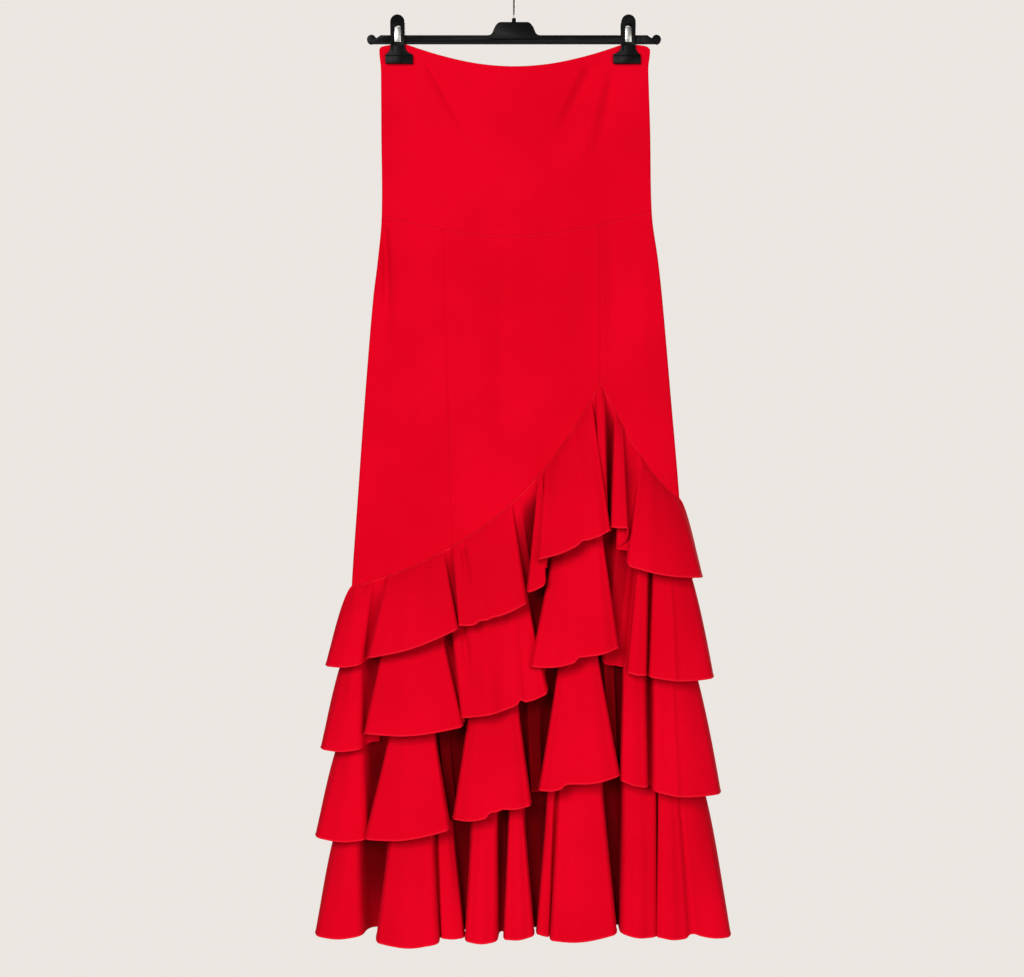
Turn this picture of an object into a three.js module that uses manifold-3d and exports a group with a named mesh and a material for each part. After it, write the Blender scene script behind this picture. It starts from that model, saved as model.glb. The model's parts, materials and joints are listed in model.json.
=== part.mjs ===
// A tiered flamenco skirt of heavy red jersey, clipped to a black trouser hanger and hanging flat.
// Millimetres. +X is to the right as it is looked at, +Y goes away from the viewer and +Z is up.
// The origin is the inside of the hook's crown, where the hanger rests on a rail.
import * as THREE from "three";
import { mergeVertices } from "three/addons/utils/BufferGeometryUtils.js";
import Module from "manifold-3d";

const wasm = await Module();
wasm.setup();

// ---- Driving dimensions -------------------------------------------------------------------------

const CLOTH = 1.2; // wall of every cloth piece
const GAP = 0.3; // between neighbouring pieces at a seam
const WALL_MID = CLOTH / 2 + GAP / 2; // middle of a wall that lies flat against its twin
const SWELL_POWER = 0.7; // roundness of the tube's section between its side seams

// The tube of the skirt: its side seams and how far its front and its back stand from the middle.
const TUBE = [
  { z: -80, left: -154, right: 155, depth: 3 },
  { z: -176, left: -152.5, right: 156.5, depth: 6 },
  { z: -274, left: -152, right: 158.5, depth: 9 },
  { z: -326, left: -156.5, right: 165.5, depth: 11 },
  { z: -372, left: -162, right: 170.5, depth: 12.5 },
  { z: -487, left: -171.5, right: 180.5, depth: 15 },
  { z: -599, left: -179.5, right: 190, depth: 18 },
  { z: -701, left: -186.5, right: 196, depth: 20 },
  { z: -832, left: -192, right: 205, depth: 23 },
  { z: -990, left: -200, right: 215, depth: 26 },
];

const WAIST = { clip: -77.5, sag: 26.2, halfSpan: 126, middle: 0.5, corner: 3, cornerRun: 0.22, bow: 1.12 };
const YOKE_SEAM = { left: -276.3, right: -271.1, dip: 25.3, middle: 3, halfSpan: 155, bow: 1.2 };
const LEFT_PRINCESS_SEAM = { topX: -81.3, topZ: -295, bottomX: -70.8, bottomZ: -655 };
const RIGHT_PRINCESS_SEAM_X = 98.8; // it runs down to the peak of the first flounce

// The cloth under the flounces lies inside the tube that the flounces are sewn to.
const UNDER = { sideInset: 8, depthInset: 1.7, top: 0.6, hemBelowSeam: 12 };

// Each tier's seam climbs from both sides to a point over the right thigh.
// arch is the steep share of the climb.
const PEAK_X = RIGHT_PRINCESS_SEAM_X;
const SEAMS = [
  { left: -700.6, peak: -467.5, right: -599.4, arch: 0.4 },
  { left: -769.6, peak: -607.3, right: -668.4, arch: 0.25 },
  { left: -863.9, peak: -746, right: -785.7, arch: 0.2 },
  { left: -967.4, peak: -893.2, right: -914.5, arch: 0.15 },
];
const SEAM_SHAPE = { leftBow: 1.3, archBow: 4, rightBow: 1.4 };

// The flutes of each front flounce, from left to right.
// topL, topR: where a flute leaves the seam; hemL, hemR: its two edges at the hem;
// zL, zR: the hem's height there; reach: how far the flute stands out from the tube;
// fold, back: the middle of the fold that follows it and that fold's reach.
const COLUMNS = ["topL", "topR", "hemL", "hemR", "zL", "zR", "reach", "fold", "back"];
const flutes = (rows) => rows.map((row) => Object.fromEntries(COLUMNS.map((name, i) => [name, row[i]])));
const FRONT_FLUTES = [
  flutes([
    [-181, -163, -215.5, -167, -791.5, -783, 36, -152, 15],
    [-144, -81, -165.5, -63, -780.5, -746.5, 46, -62.5, 15],
    [-69.5, -60.5, -62, -49.5, -742.5, -741, 38, -45, 31],
    [-41, -2.5, -40.5, 14.5, -741, -718, 46, 20, 15],
    [27.5, 32, 17, 35, -706, -697.5, 24, 44, 15],
    [35.5, 65, 27, 71, -667.5, -654, 48, 74.5, 38],
    [75, 86.5, 78, 108, -650, -636.5, 46, 94, 15],
    [94.5, 101.5, 100, 108, -635.5, -635, 24, 116, 15],
    [115, 119.5, 109.5, 128.5, -632, -633, 44, 128, 15],
    [143.5, 184, 127.5, 215.5, -675, -688.5, 46, 0, 0],
  ]),
  flutes([
    [-183, -168.5, -221, -163, -886.5, -878, 36, -153, 15],
    [-147, -86.5, -170, -58.5, -865, -858.5, 46, -59, 15],
    [-70.5, -61.5, -59.5, -45, -846, -844, 38, -43, 31],
    [-51.5, -4.5, -40.5, 8, -843.5, -832.5, 46, 9, 19],
    [3.5, 18, 9, 37.5, -827.5, -820.5, 22, 46, 15],
    [44.5, 74, 18, 74, -789, -782.5, 48, 78.5, 38],
    [82, 95.5, 83, 118, -779, -767.5, 46, 104, 15],
    [105, 114, 110, 121.5, -788, -788.5, 25, 132, 15],
    [143.5, 148, 127, 150.5, -796.5, -801, 44, 152, 15],
    [164, 194, 152, 228, -802.5, -803.5, 46, 0, 0],
  ]),
  flutes([
    [-187, -162, -227, -162, -988.5, -984.5, 38, -150, 15],
    [-138, -94.5, -168.5, -72, -984, -971.5, 48, -84, 15],
    [-88, -78.5, -76.5, -65, -968, -965.5, 28, -56, 15],
    [-43.5, -23, -68.5, -18, -959.5, -952.5, 48, -14.5, 38],
    [-16, 0, -11.5, 19, -947.5, -944, 46, 17, 15],
    [16, 27.5, 20.5, 30.5, -930.5, -929.5, 24, 40, 15],
    [53.5, 88, 28, 119, -927, -911, 50, 103, 15],
    [101.5, 110.5, 110, 119, -915, -915.5, 24, 126, 15],
    [125.5, 147, 120, 150.5, -917, -926, 46, 153, 15],
    [167.5, 200, 156, 236, -931.5, -933.5, 48, 0, 0],
  ]),
  flutes([
    [-193, -166.5, -227, -166, -1100, -1096.5, 42, -152, 8],
    [-137, -94.5, -155.5, -84, -1102, -1101, 52, -83, 20],
    [-86.5, -73, -82, -56, -1098, -1097.5, 34, -55, 8],
    [-45.5, -20.5, -55, -18, -1099.5, -1097, 48, -15, 8],
    [-3.5, 7, -11.5, 22.5, -1097, -1094, 46, 24, 8],
    [40, 45.5, 25.5, 39, -1092, -1094, 34, 39.5, 22],
    [52.5, 95.5, 40.5, 115.5, -1099, -1094, 52, 117, 8],
    [125.5, 160.5, 118.5, 159, -1094.5, -1097.5, 46, 159.5, 16],
    [168, 184, 160, 197, -1099, -1099, 48, 201, 34],
    [192, 205, 205, 247.5, -1096, -1097.5, 38, 0, 0],
  ]),
];

// The back flounces hang in plainer flutes: each one's share of the width and its reach.
const BACK_FLUTES = [
  { share: 0.9, reach: 34 },
  { share: 1.2, reach: 40 },
  { share: 0.8, reach: 36 },
  { share: 1.15, reach: 42 },
  { share: 1.0, reach: 38 },
  { share: 1.25, reach: 41 },
  { share: 0.85, reach: 36 },
  { share: 1.0, reach: 34 },
];
const BACK = { topFill: 0.72, hemFill: 0.97, fold: 15, hemWave: 2, waveTurn: 5, waveAlong: 2 };
const LAST_TIER_FOLD = 8; // the lowest flounce has nothing under it, so its folds go back further
const DEEP_FOLD_HALF = 12; // half the width of a fold that goes right back to the tube
// A flute's edges stand back from its reach by the smaller of two shares.
// Its middle stands out and hangs down.
const ROUNDING = { ofReach: 0.3, ofWidth: 0.3, crown: 1.3, sag: 0.04 };

// How a flounce opens from its seam (share 0) to its hem (share 1).
const OPENING = { depthBow: 0.85, sideBow: 0.7, edgeBow: 4 };
const FLOUNCE_LEVELS = [0, 0.3, 1];
const SEAM_ALLOWANCE = { gap: 0.9, most: 4 }; // how far off its seam line a flounce starts, and the most
const CORNER_STEPS = 2; // points round each corner of a fold

// How finely the flat pieces are divided, and how their columns crowd towards a seam.
const YOKE_GRID = { columns: 22, levels: 4 };
const PANEL_GRID = { left: 7, centre: 12, right: 12, back: 16, levels: 4 };
const UNDER_GRID = { columns: 16, levels: 3 };
const CROWDING = { leftSide: 1.8, peak: 1.6 };
const MEETING = { start: -400, rounds: 4, steps: 12, ease: 0.7 }; // for finding where a line meets a seam

// The hanger: its bar, the block in its middle, the wire hook and two spring clips.
const BAR = {
  halfLength: 169,
  z: -72.5,
  height: 9.6,
  thick: 6,
  knob: 5.4, // radius of its round ends
  notch: 3.4, // for a loop, just inside each end
  notchRun: 5,
  rib: 1.8,
  recess: 1.6, // of the web between its two ribs
  webEnd: 146,
};
const KNOB_TURN = 0.68; // how far round a knob goes before its notch, in half turns
const BLOCK = {
  halfTop: 15,
  halfWaist: 23.5,
  halfFoot: 29.5,
  top: -52.7,
  waist: -61.5,
  foot: -72.2,
  flare: 3.5,
  round: 6,
  thick: 7.6,
};
const COLLAR = { radius: 2.8, taper: 0.6, top: -47.8, sunk: 2, segments: 16 };
const HOOK = {
  wire: 1.05, // radius of the wire
  bore: 1.35, // radius of the hole that it turns in
  radius: 19.05, // of the crown, to the middle of the wire
  foot: -62,
  shankTop: -41,
  bend: 4, // of the shank's end, before the crown
  turnIn: { forward: -4.5, z: -4 },
  start: -48, // degrees, where the crown starts, and its tip
  tip: 208,
  step: 16,
  rings: 44,
};
const CLIP = {
  x: [-133.6, 131.2],
  top: -45.7,
  flare: -80, // where the arm starts to widen into the jaw
  shoulder: -90,
  jawFoot: -100.9,
  arm: 8.3,
  jaw: 15.8,
  offset: 1.6, // of the jaw from the arm, towards the hanger's middle
  bevel: 1.2,
  bite: 1.65,
  jawThick: 3.8,
  lip: { raise: 0.9, height: 8.6 }, // thicker foot of the jaw
  armThick: 2.6,
  barGap: 0.4,
  splay: 6.5, // of the arm's end, outwards
  slot: { half: 4, top: -54.5, foot: -76.5 },
  strip: 5, // half the width of the raised strip down the jaw
  raise: 0.7,
  rim: 1.7, // of the arm, standing round a shallow recess
  sunk: 1.9,
};
const CLIP_REACH = 40; // more than a clip measures in any direction from its middle
const PINCH = { full: 20, none: 62, above: 4, below: 90 }; // how far round a clip it holds the cloth flat
const SPRING = { half: 3.7, top: -58.6, foot: -76, inner: 4.6, thick: 0.9 };

const RED = new THREE.MeshStandardMaterial({ color: "#dc0420", roughness: 0.72, metalness: 0 });
const BLACK = new THREE.MeshStandardMaterial({ color: "#17181a", roughness: 0.42, metalness: 0 });
const STEEL = new THREE.MeshStandardMaterial({ color: "#c9c9c6", roughness: 0.28, metalness: 1 });

const FRONT = -1; // the viewer's side
const REAR = 1;

const skirt = new THREE.Group();

// ---- Small helpers ------------------------------------------------------------------------------

const lerp = THREE.MathUtils.lerp;
const clamp = THREE.MathUtils.clamp;
const fade = THREE.MathUtils.smoothstep;
const range = (count) => [...Array(count + 1).keys()].map((i) => i / count);

/** A table's column at a height, on a smooth curve through its rows. */
function tubeAt(z, name) {
  const rows = TUBE;
  const last = rows.length - 1;
  const height = clamp(z, rows[last].z, rows[0].z);
  let i = rows.findIndex((row) => row.z <= height);
  i = clamp(i, 1, last);
  const slope = (k) => {
    const above = rows[Math.max(k - 1, 0)];
    const below = rows[Math.min(k + 1, last)];
    return (below[name] - above[name]) / (below.z - above.z);
  };
  const [a, b] = [rows[i - 1], rows[i]];
  const run = b.z - a.z;
  const t = (height - a.z) / run;
  const t2 = t * t;
  const t3 = t2 * t;
  return (
    a[name] * (2 * t3 - 3 * t2 + 1) +
    b[name] * (3 * t2 - 2 * t3) +
    run * (slope(i - 1) * (t3 - 2 * t2 + t) + slope(i) * (t3 - t2))
  );
}

const middleAt = (z) => (tubeAt(z, "left") + tubeAt(z, "right")) / 2;
const halfAt = (z) => (tubeAt(z, "right") - tubeAt(z, "left")) / 2;
const swell = (s) => Math.max(0, 1 - s * s) ** SWELL_POWER;

/** How hard a clip squeezes front and back together at a point: 1 between its jaws, 0 away from it. */
function pinch(x, z) {
  const aside = Math.min(...CLIP.x.map((clipX) => Math.abs(x - clipX)));
  const { full, none, above, below } = PINCH;
  return (1 - fade(aside, full, none)) * fade(z, CLIP.jawFoot - below, CLIP.jawFoot - above);
}

/** A closed solid from a grid of points on a wall's middle surface, rows[j][i], and the wall's thickness. */
function wall(name, rows, thick = CLOTH) {
  const high = rows.length - 1;
  const wide = rows[0].length - 1;
  const at = (j, i) => rows[clamp(j, 0, high)][clamp(i, 0, wide)];
  const points = [];
  for (const side of [1, -1])
    for (let j = 0; j <= high; j++)
      for (let i = 0; i <= wide; i++) {
        const across = at(j, i + 1).clone().sub(at(j, i - 1));
        const down = at(j + 1, i).clone().sub(at(j - 1, i));
        const normal = across.cross(down).normalize();
        points.push(at(j, i).clone().addScaledVector(normal, (side * thick) / 2));
      }
  const layer = (high + 1) * (wide + 1);
  const id = (side, j, i) => side * layer + j * (wide + 1) + i;
  const faces = [];
  const quad = (a, b, c, d) => faces.push(a, b, c, a, c, d);
  for (let j = 0; j < high; j++)
    for (let i = 0; i < wide; i++) {
      quad(id(0, j, i), id(0, j + 1, i), id(0, j + 1, i + 1), id(0, j, i + 1));
      quad(id(1, j, i), id(1, j, i + 1), id(1, j + 1, i + 1), id(1, j + 1, i));
    }
  for (let i = 0; i < wide; i++) {
    quad(id(0, 0, i), id(0, 0, i + 1), id(1, 0, i + 1), id(1, 0, i));
    quad(id(0, high, i), id(1, high, i), id(1, high, i + 1), id(0, high, i + 1));
  }
  for (let j = 0; j < high; j++) {
    quad(id(0, j, 0), id(1, j, 0), id(1, j + 1, 0), id(0, j + 1, 0));
    quad(id(0, j, wide), id(0, j + 1, wide), id(1, j + 1, wide), id(1, j, wide));
  }
  const geometry = new THREE.BufferGeometry().setFromPoints(points).setIndex(faces);
  if (volumeOf(points, faces) < 0) {
    for (let i = 0; i < faces.length; i += 3) [faces[i], faces[i + 1]] = [faces[i + 1], faces[i]];
    geometry.setIndex(faces);
  }
  add(name, geometry, RED);
}

function volumeOf(points, faces) {
  let six = 0;
  for (let i = 0; i < faces.length; i += 3) {
    const [a, b, c] = [points[faces[i]], points[faces[i + 1]], points[faces[i + 2]]];
    six += a.dot(b.clone().cross(c));
  }
  return six / 6;
}

function add(name, geometry, material) {
  geometry.computeVertexNormals();
  const mesh = new THREE.Mesh(geometry, material);
  mesh.name = name;
  skirt.add(mesh);
}

/** A three.js geometry as a manifold-3d solid. */
function solid(geometry) {
  const bare = new THREE.BufferGeometry().setAttribute("position", geometry.getAttribute("position"));
  if (geometry.index) bare.setIndex(geometry.index);
  const merged = mergeVertices(bare, 1e-4);
  return new wasm.Manifold(
    new wasm.Mesh({
      numProp: 3,
      vertProperties: merged.attributes.position.array,
      triVerts: new Uint32Array(merged.index.array),
    }),
  );
}

function geometryOf(made) {
  const mesh = made.getMesh();
  return new THREE.BufferGeometry()
    .setAttribute("position", new THREE.BufferAttribute(Float32Array.from(mesh.vertProperties), 3))
    .setIndex([...mesh.triVerts]);
}

/** A shape drawn as it is seen from the front, X to the right and Y up, as deep as thick. */
function plate(shape, thick, middle = 0, curveSegments = 6) {
  return new THREE.ExtrudeGeometry(shape, { depth: thick, bevelEnabled: false, curveSegments })
    .translate(0, 0, -thick / 2)
    .rotateX(Math.PI / 2)
    .translate(0, middle, 0);
}

/** A shape drawn from the side, its X the distance in front of the middle and its Y up, across a width. */
function slab(shape, halfWidth, x) {
  return new THREE.ExtrudeGeometry(shape, { depth: 2 * halfWidth, bevelEnabled: false, curveSegments: 4 })
    .translate(0, 0, -halfWidth)
    .rotateX(Math.PI / 2)
    .rotateZ(-Math.PI / 2)
    .translate(x, 0, 0);
}

const outline = (points) => new THREE.Shape(points.map(([x, y]) => new THREE.Vector2(x, y)));

// ---- Seam lines ---------------------------------------------------------------------------------

function waistZ(x) {
  const t = (x - WAIST.middle) / WAIST.halfSpan;
  if (Math.abs(t) > 1) return WAIST.clip - WAIST.corner * ((Math.abs(t) - 1) / WAIST.cornerRun) ** 2;
  return WAIST.clip - WAIST.sag * (1 - t * t) ** WAIST.bow;
}

function yokeSeamZ(x) {
  const t = clamp((x - YOKE_SEAM.middle) / YOKE_SEAM.halfSpan, -1, 1);
  return lerp(YOKE_SEAM.left, YOKE_SEAM.right, (t + 1) / 2) - YOKE_SEAM.dip * (1 - t * t) ** YOKE_SEAM.bow;
}

function leftPrincessX(z) {
  const seam = LEFT_PRINCESS_SEAM;
  return lerp(seam.topX, seam.bottomX, (z - seam.topZ) / (seam.bottomZ - seam.topZ));
}

/** The height of a tier's seam on the front or the back at x. */
function tierSeamZ(tier, side, x) {
  const seam = SEAMS[tier];
  const left = tubeAt(seam.left, "left");
  const right = tubeAt(seam.right, "right");
  if (side === REAR) return lerp(seam.left, seam.right, fade(x, left, right));
  if (x > PEAK_X) {
    const t = clamp((right - x) / (right - PEAK_X), 0, 1);
    return lerp(seam.right, seam.peak, t ** SEAM_SHAPE.rightBow);
  }
  const t = clamp((x - left) / (PEAK_X - left), 0, 1);
  const climb = (1 - seam.arch) * t ** SEAM_SHAPE.leftBow + seam.arch * t ** SEAM_SHAPE.archBow;
  return lerp(seam.left, seam.peak, climb);
}

/** The height where a line of constant s on the tube meets a seam line. */
function meet(s, seamZ, inset = 0) {
  let z = seamZ(0);
  for (let i = 0; i < MEETING.steps; i++)
    z = lerp(z, seamZ(middleAt(z) + (halfAt(z) - inset) * s), MEETING.ease);
  return z;
}

// ---- Flat pieces: yoke, panels and the cloth under the flounces ------------------------------------

/** A point of the tube. s runs from -1 at the left side seam to 1 at the right one. */
function tubePoint(s, z, side, inset = { sideInset: 0, depthInset: 0 }) {
  const x = middleAt(z) + (halfAt(z) - inset.sideInset) * s;
  const open = (tubeAt(z, "depth") - inset.depthInset) * swell(s) * (1 - pinch(x, z));
  return new THREE.Vector3(x, side * (WALL_MID + open), z);
}

/** A piece of the tube between two seams. across gives the values of s at a height, from left to right. */
function piece(name, side, across, topZ, bottomZ, levels, inset) {
  const columns = across(0).length;
  const rows = levels.map((v) =>
    [...Array(columns).keys()].map((i) => {
      let z = MEETING.start;
      for (let turn = 0; turn < MEETING.rounds; turn++) {
        const s = across(z)[i];
        const narrow = inset ? inset.sideInset : 0;
        z = lerp(meet(s, topZ, narrow), meet(s, bottomZ, narrow), v);
      }
      return tubePoint(across(z)[i], z, side, inset);
    }),
  );
  wall(name, rows);
}

/** Values of s from one side seam to the other, closer together near the seams. */
const allAcross = (count) => () => range(count).map((t) => -Math.cos(Math.PI * t));

/** Values of s from one seam to another. No seam is the side seam, and spread sets how they are spaced. */
function between(leftX, rightX, count, spread) {
  return (z) => {
    const s = (x) => (x - middleAt(z)) / halfAt(z);
    const from = leftX === null ? -1 : s(leftX(z) + GAP / 2);
    const to = rightX === null ? 1 : s(rightX(z) - GAP / 2);
    return range(count).map((t) => lerp(from, to, spread(t)));
  };
}

function makeFlatPieces() {
  const below = (seamZ, gap) => (x) => seamZ(x) - gap;
  const above = (seamZ, gap) => (x) => seamZ(x) + gap;
  for (const [side, word] of [[FRONT, "front"], [REAR, "back"]]) {
    const yokeFoot = above(yokeSeamZ, GAP / 2);
    piece(`yoke_${word}`, side, allAcross(YOKE_GRID.columns), waistZ, yokeFoot, range(YOKE_GRID.levels));
    const firstSeam = (x) => tierSeamZ(0, side, x);
    const lastSeam = (x) => tierSeamZ(SEAMS.length - 1, side, x);
    piece(
      `under_panel_${word}`,
      side,
      allAcross(UNDER_GRID.columns),
      below(firstSeam, UNDER.top),
      below(lastSeam, UNDER.hemBelowSeam),
      range(UNDER_GRID.levels),
      UNDER,
    );
    const top = below(yokeSeamZ, GAP / 2);
    const levels = range(PANEL_GRID.levels);
    if (side === REAR) {
      piece("panel_back", side, allAcross(PANEL_GRID.back), top, firstSeam, levels);
      continue;
    }
    const rightX = () => RIGHT_PRINCESS_SEAM_X;
    const towardsSide = (t) => t ** CROWDING.leftSide;
    const towardsPeak = (t) => 1 - (1 - t) ** CROWDING.peak;
    const towardsBoth = (t) => (1 - Math.cos(Math.PI * t)) / 2;
    const left = between(null, leftPrincessX, PANEL_GRID.left, towardsSide);
    piece("panel_front_left", side, left, top, firstSeam, levels);
    const centre = between(leftPrincessX, rightX, PANEL_GRID.centre, towardsPeak);
    piece("panel_front_centre", side, centre, top, firstSeam, levels);
    const right = between(rightX, null, PANEL_GRID.right, towardsBoth);
    piece("panel_front_right", side, right, top, firstSeam, levels);
  }
}

// ---- Flounces -----------------------------------------------------------------------------------

/** The back flutes of a tier as rows like those of the front, ending where the front's side flutes do. */
function backFlutes(tier) {
  const front = FRONT_FLUTES[tier];
  const [first, last] = [front[0], front[front.length - 1]];
  const sum = BACK_FLUTES.reduce((total, flute) => total + flute.share, 0);
  const fold = tier === SEAMS.length - 1 ? LAST_TIER_FOLD : BACK.fold;
  let done = 0;
  return BACK_FLUTES.map((flute, i) => {
    const [from, to] = [done / sum, (done + flute.share) / sum];
    done += flute.share;
    const place = (a, b, fill, t) => lerp(a, b, lerp((from + to) / 2, t, fill));
    const isFirst = i === 0;
    const isLast = i === BACK_FLUTES.length - 1;
    const wave = (t) => BACK.hemWave * Math.sin(BACK.waveTurn * i + BACK.waveAlong * t + tier);
    const height = (t) => lerp(first.zL, last.zR, t) + wave(t);
    return {
      topL: isFirst ? first.topL : place(first.topL, last.topR, BACK.topFill, from),
      topR: isLast ? last.topR : place(first.topL, last.topR, BACK.topFill, to),
      hemL: isFirst ? first.hemL : place(first.hemL, last.hemR, BACK.hemFill, from),
      hemR: isLast ? last.hemR : place(first.hemL, last.hemR, BACK.hemFill, to),
      zL: isFirst ? first.zL : height(from),
      zR: isLast ? last.zR : height(to),
      reach: flute.reach,
      fold: lerp(first.hemL, last.hemR, to),
      back: fold,
    };
  });
}

/** An edge pushed outwards, so that the rounded fold between it and the flute's middle just reaches it. */
function shoulder(edge, middle, under) {
  const outward = Math.sign(edge - middle);
  const half = Math.abs(edge - middle);
  const hook = Math.max(0, (edge - under) * outward) / 2;
  return edge + (outward * half * hook) / (half + hook);
}

/** The corners of a flounce's folds from left to right. top is x at the seam. The rest is at the hem. */
function corners(rows, leftSide, rightSide) {
  const list = [];
  rows.forEach((flute, i) => {
    const before = rows[i - 1];
    const after = rows[i + 1];
    const middle = (flute.hemL + flute.hemR) / 2;
    const foldHalf = DEEP_FOLD_HALF * (1 - flute.back / flute.reach);
    const beforeHalf = before ? DEEP_FOLD_HALF * (1 - before.back / before.reach) : 0;
    const width = flute.hemR - flute.hemL;
    const drop = Math.min(ROUNDING.ofReach * flute.reach, ROUNDING.ofWidth * width);
    const reach = flute.reach - drop;
    if (!before) list.push({ top: leftSide, x: flute.hemL, z: flute.zL, reach: 0, side: 1, drop: 0 });
    const left = before ? shoulder(flute.hemL, middle, before.fold + beforeHalf) : flute.hemL;
    list.push({ top: flute.topL, x: left, z: flute.zL, reach, side: before ? 0 : 1, drop });
    const right = after ? shoulder(flute.hemR, middle, flute.fold - foldHalf) : flute.hemR;
    list.push({ top: flute.topR, x: right, z: flute.zR, reach, side: after ? 0 : 1, drop });
    if (!after) {
      list.push({ top: rightSide, x: flute.hemR, z: flute.zR, reach: 0, side: 1, drop: 0 });
      return;
    }
    for (const [share, edge] of [[1 / 3, -1], [2 / 3, 1]])
      list.push({
        top: lerp(flute.topR, after.topL, share),
        x: flute.fold + edge * foldHalf,
        z: lerp(flute.zR, after.zL, share),
        reach: flute.back,
        side: 0,
        drop: 0,
      });
  });
  return list;
}

const blend = (a, b, t) =>
  Object.fromEntries(Object.keys(a).map((name) => [name, lerp(a[name], b[name], t)]));

/** Points along the corners' rounded line, from middle to middle of its edges and round each corner. */
function rounded(list, steps = CORNER_STEPS) {
  const middle = (i) => {
    const made = blend(list[i], list[i + 1], 0.5);
    if (list[i].drop && list[i + 1].drop) {
      made.reach += ROUNDING.crown * list[i].drop;
      made.z -= ROUNDING.sag * (list[i + 1].x - list[i].x);
    }
    return made;
  };
  const made = [list[0]];
  for (let i = 1; i < list.length - 1; i++)
    for (let k = 0; k < steps; k++) {
      const t = k / steps;
      made.push(blend(blend(middle(i - 1), list[i], t), blend(list[i], middle(i), t), t));
    }
  made.push(middle(list.length - 2), list[list.length - 1]);
  return made;
}

/** The height where a flounce starts at x, clear of the cloth above its seam. */
function flounceTop(x, seamZ) {
  const slope = seamZ(x + 0.5) - seamZ(x - 0.5);
  return seamZ(x) - Math.min(SEAM_ALLOWANCE.gap * Math.hypot(1, slope), SEAM_ALLOWANCE.most);
}

/** A point of a flounce between its seam (v = 0) and its hem (v = 1). */
function flouncePoint(corner, seamZ, side, v) {
  const topZ = flounceTop(corner.top, seamZ);
  const z = lerp(topZ, corner.z, v);
  const travel = lerp(v, v ** OPENING.sideBow, corner.side);
  const x = lerp(corner.top, corner.x, travel);
  const s = clamp((x - middleAt(z)) / halfAt(z), -1, 1);
  const edge = GAP / 2 + (CLOTH / 2) * (1 - v) ** OPENING.edgeBow;
  const tube = edge + (tubeAt(z, "depth") + WALL_MID - edge) * swell(s);
  return new THREE.Vector3(x, side * (tube + corner.reach * v ** OPENING.depthBow), z);
}

function makeFlounces() {
  SEAMS.forEach((seam, tier) => {
    const leftSide = tubeAt(seam.left, "left");
    const rightSide = tubeAt(seam.right, "right");
    for (const [side, word] of [[FRONT, "front"], [REAR, "back"]]) {
      const rows = side === FRONT ? FRONT_FLUTES[tier] : backFlutes(tier);
      const line = rounded(corners(rows, leftSide, rightSide));
      const seamZ = (x) => tierSeamZ(tier, side, x);
      const grid = FLOUNCE_LEVELS.map((v) => line.map((corner) => flouncePoint(corner, seamZ, side, v)));
      wall(`flounce_${tier + 1}_${word}`, grid);
    }
  });
}

// ---- Hanger -------------------------------------------------------------------------------------

/** The bar with its knobbed ends, the block in its middle and the collar that the hook turns in. */
function makeBar() {
  const { halfLength, z, height, thick, knob, notch, notchRun, rib, recess, webEnd } = BAR;
  const [low, high] = [z - height / 2, z + height / 2];
  const knobX = halfLength - knob;
  const bar = new THREE.Shape();
  bar.moveTo(-knobX, low);
  bar.lineTo(knobX, low);
  bar.absarc(knobX, z, knob, -Math.PI / 2, Math.PI * KNOB_TURN, false);
  bar.lineTo(knobX - knob, high - notch);
  bar.lineTo(knobX - knob - notchRun, high);
  bar.lineTo(knob + notchRun - knobX, high);
  bar.lineTo(knob - knobX, high - notch);
  bar.absarc(-knobX, z, knob, Math.PI * (1 - KNOB_TURN), Math.PI * 1.5, false);
  let made = solid(plate(bar, thick));
  const [webLow, webHigh] = [low + rib, high - rib];
  const web = outline([[-webEnd, webLow], [webEnd, webLow], [webEnd, webHigh], [-webEnd, webHigh]]);
  for (const side of [FRONT, REAR]) made = made.subtract(solid(plate(web, 2 * recess, (side * thick) / 2)));

  const { halfTop, halfWaist, halfFoot, top, waist, foot, flare, round } = BLOCK;
  const block = new THREE.Shape();
  block.moveTo(round - halfFoot, foot);
  block.lineTo(halfFoot - round, foot);
  block.quadraticCurveTo(halfFoot, foot, halfFoot, high);
  block.quadraticCurveTo(halfWaist + flare / 2, high, halfWaist, waist);
  block.quadraticCurveTo(halfWaist - flare, top, halfTop, top);
  block.lineTo(-halfTop, top);
  block.quadraticCurveTo(flare - halfWaist, top, -halfWaist, waist);
  block.quadraticCurveTo(-halfWaist - flare / 2, high, -halfFoot, high);
  block.quadraticCurveTo(-halfFoot, foot, round - halfFoot, foot);
  made = made.add(solid(plate(block, BLOCK.thick)));

  const collarFoot = top - COLLAR.sunk;
  const collarHeight = COLLAR.top - collarFoot;
  const upright = (topRadius, footRadius, low, height) =>
    new THREE.CylinderGeometry(topRadius, footRadius, height, COLLAR.segments)
      .rotateX(Math.PI / 2)
      .translate(0, 0, low + height / 2);
  const collar = upright(COLLAR.radius - COLLAR.taper, COLLAR.radius, collarFoot, collarHeight);
  const drillFoot = HOOK.foot - GAP;
  const drill = upright(HOOK.bore, HOOK.bore, drillFoot, COLLAR.top + 1 - drillFoot);
  made = made.add(solid(collar)).subtract(solid(drill));
  add("hanger_bar", geometryOf(made), BLACK);
}

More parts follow.
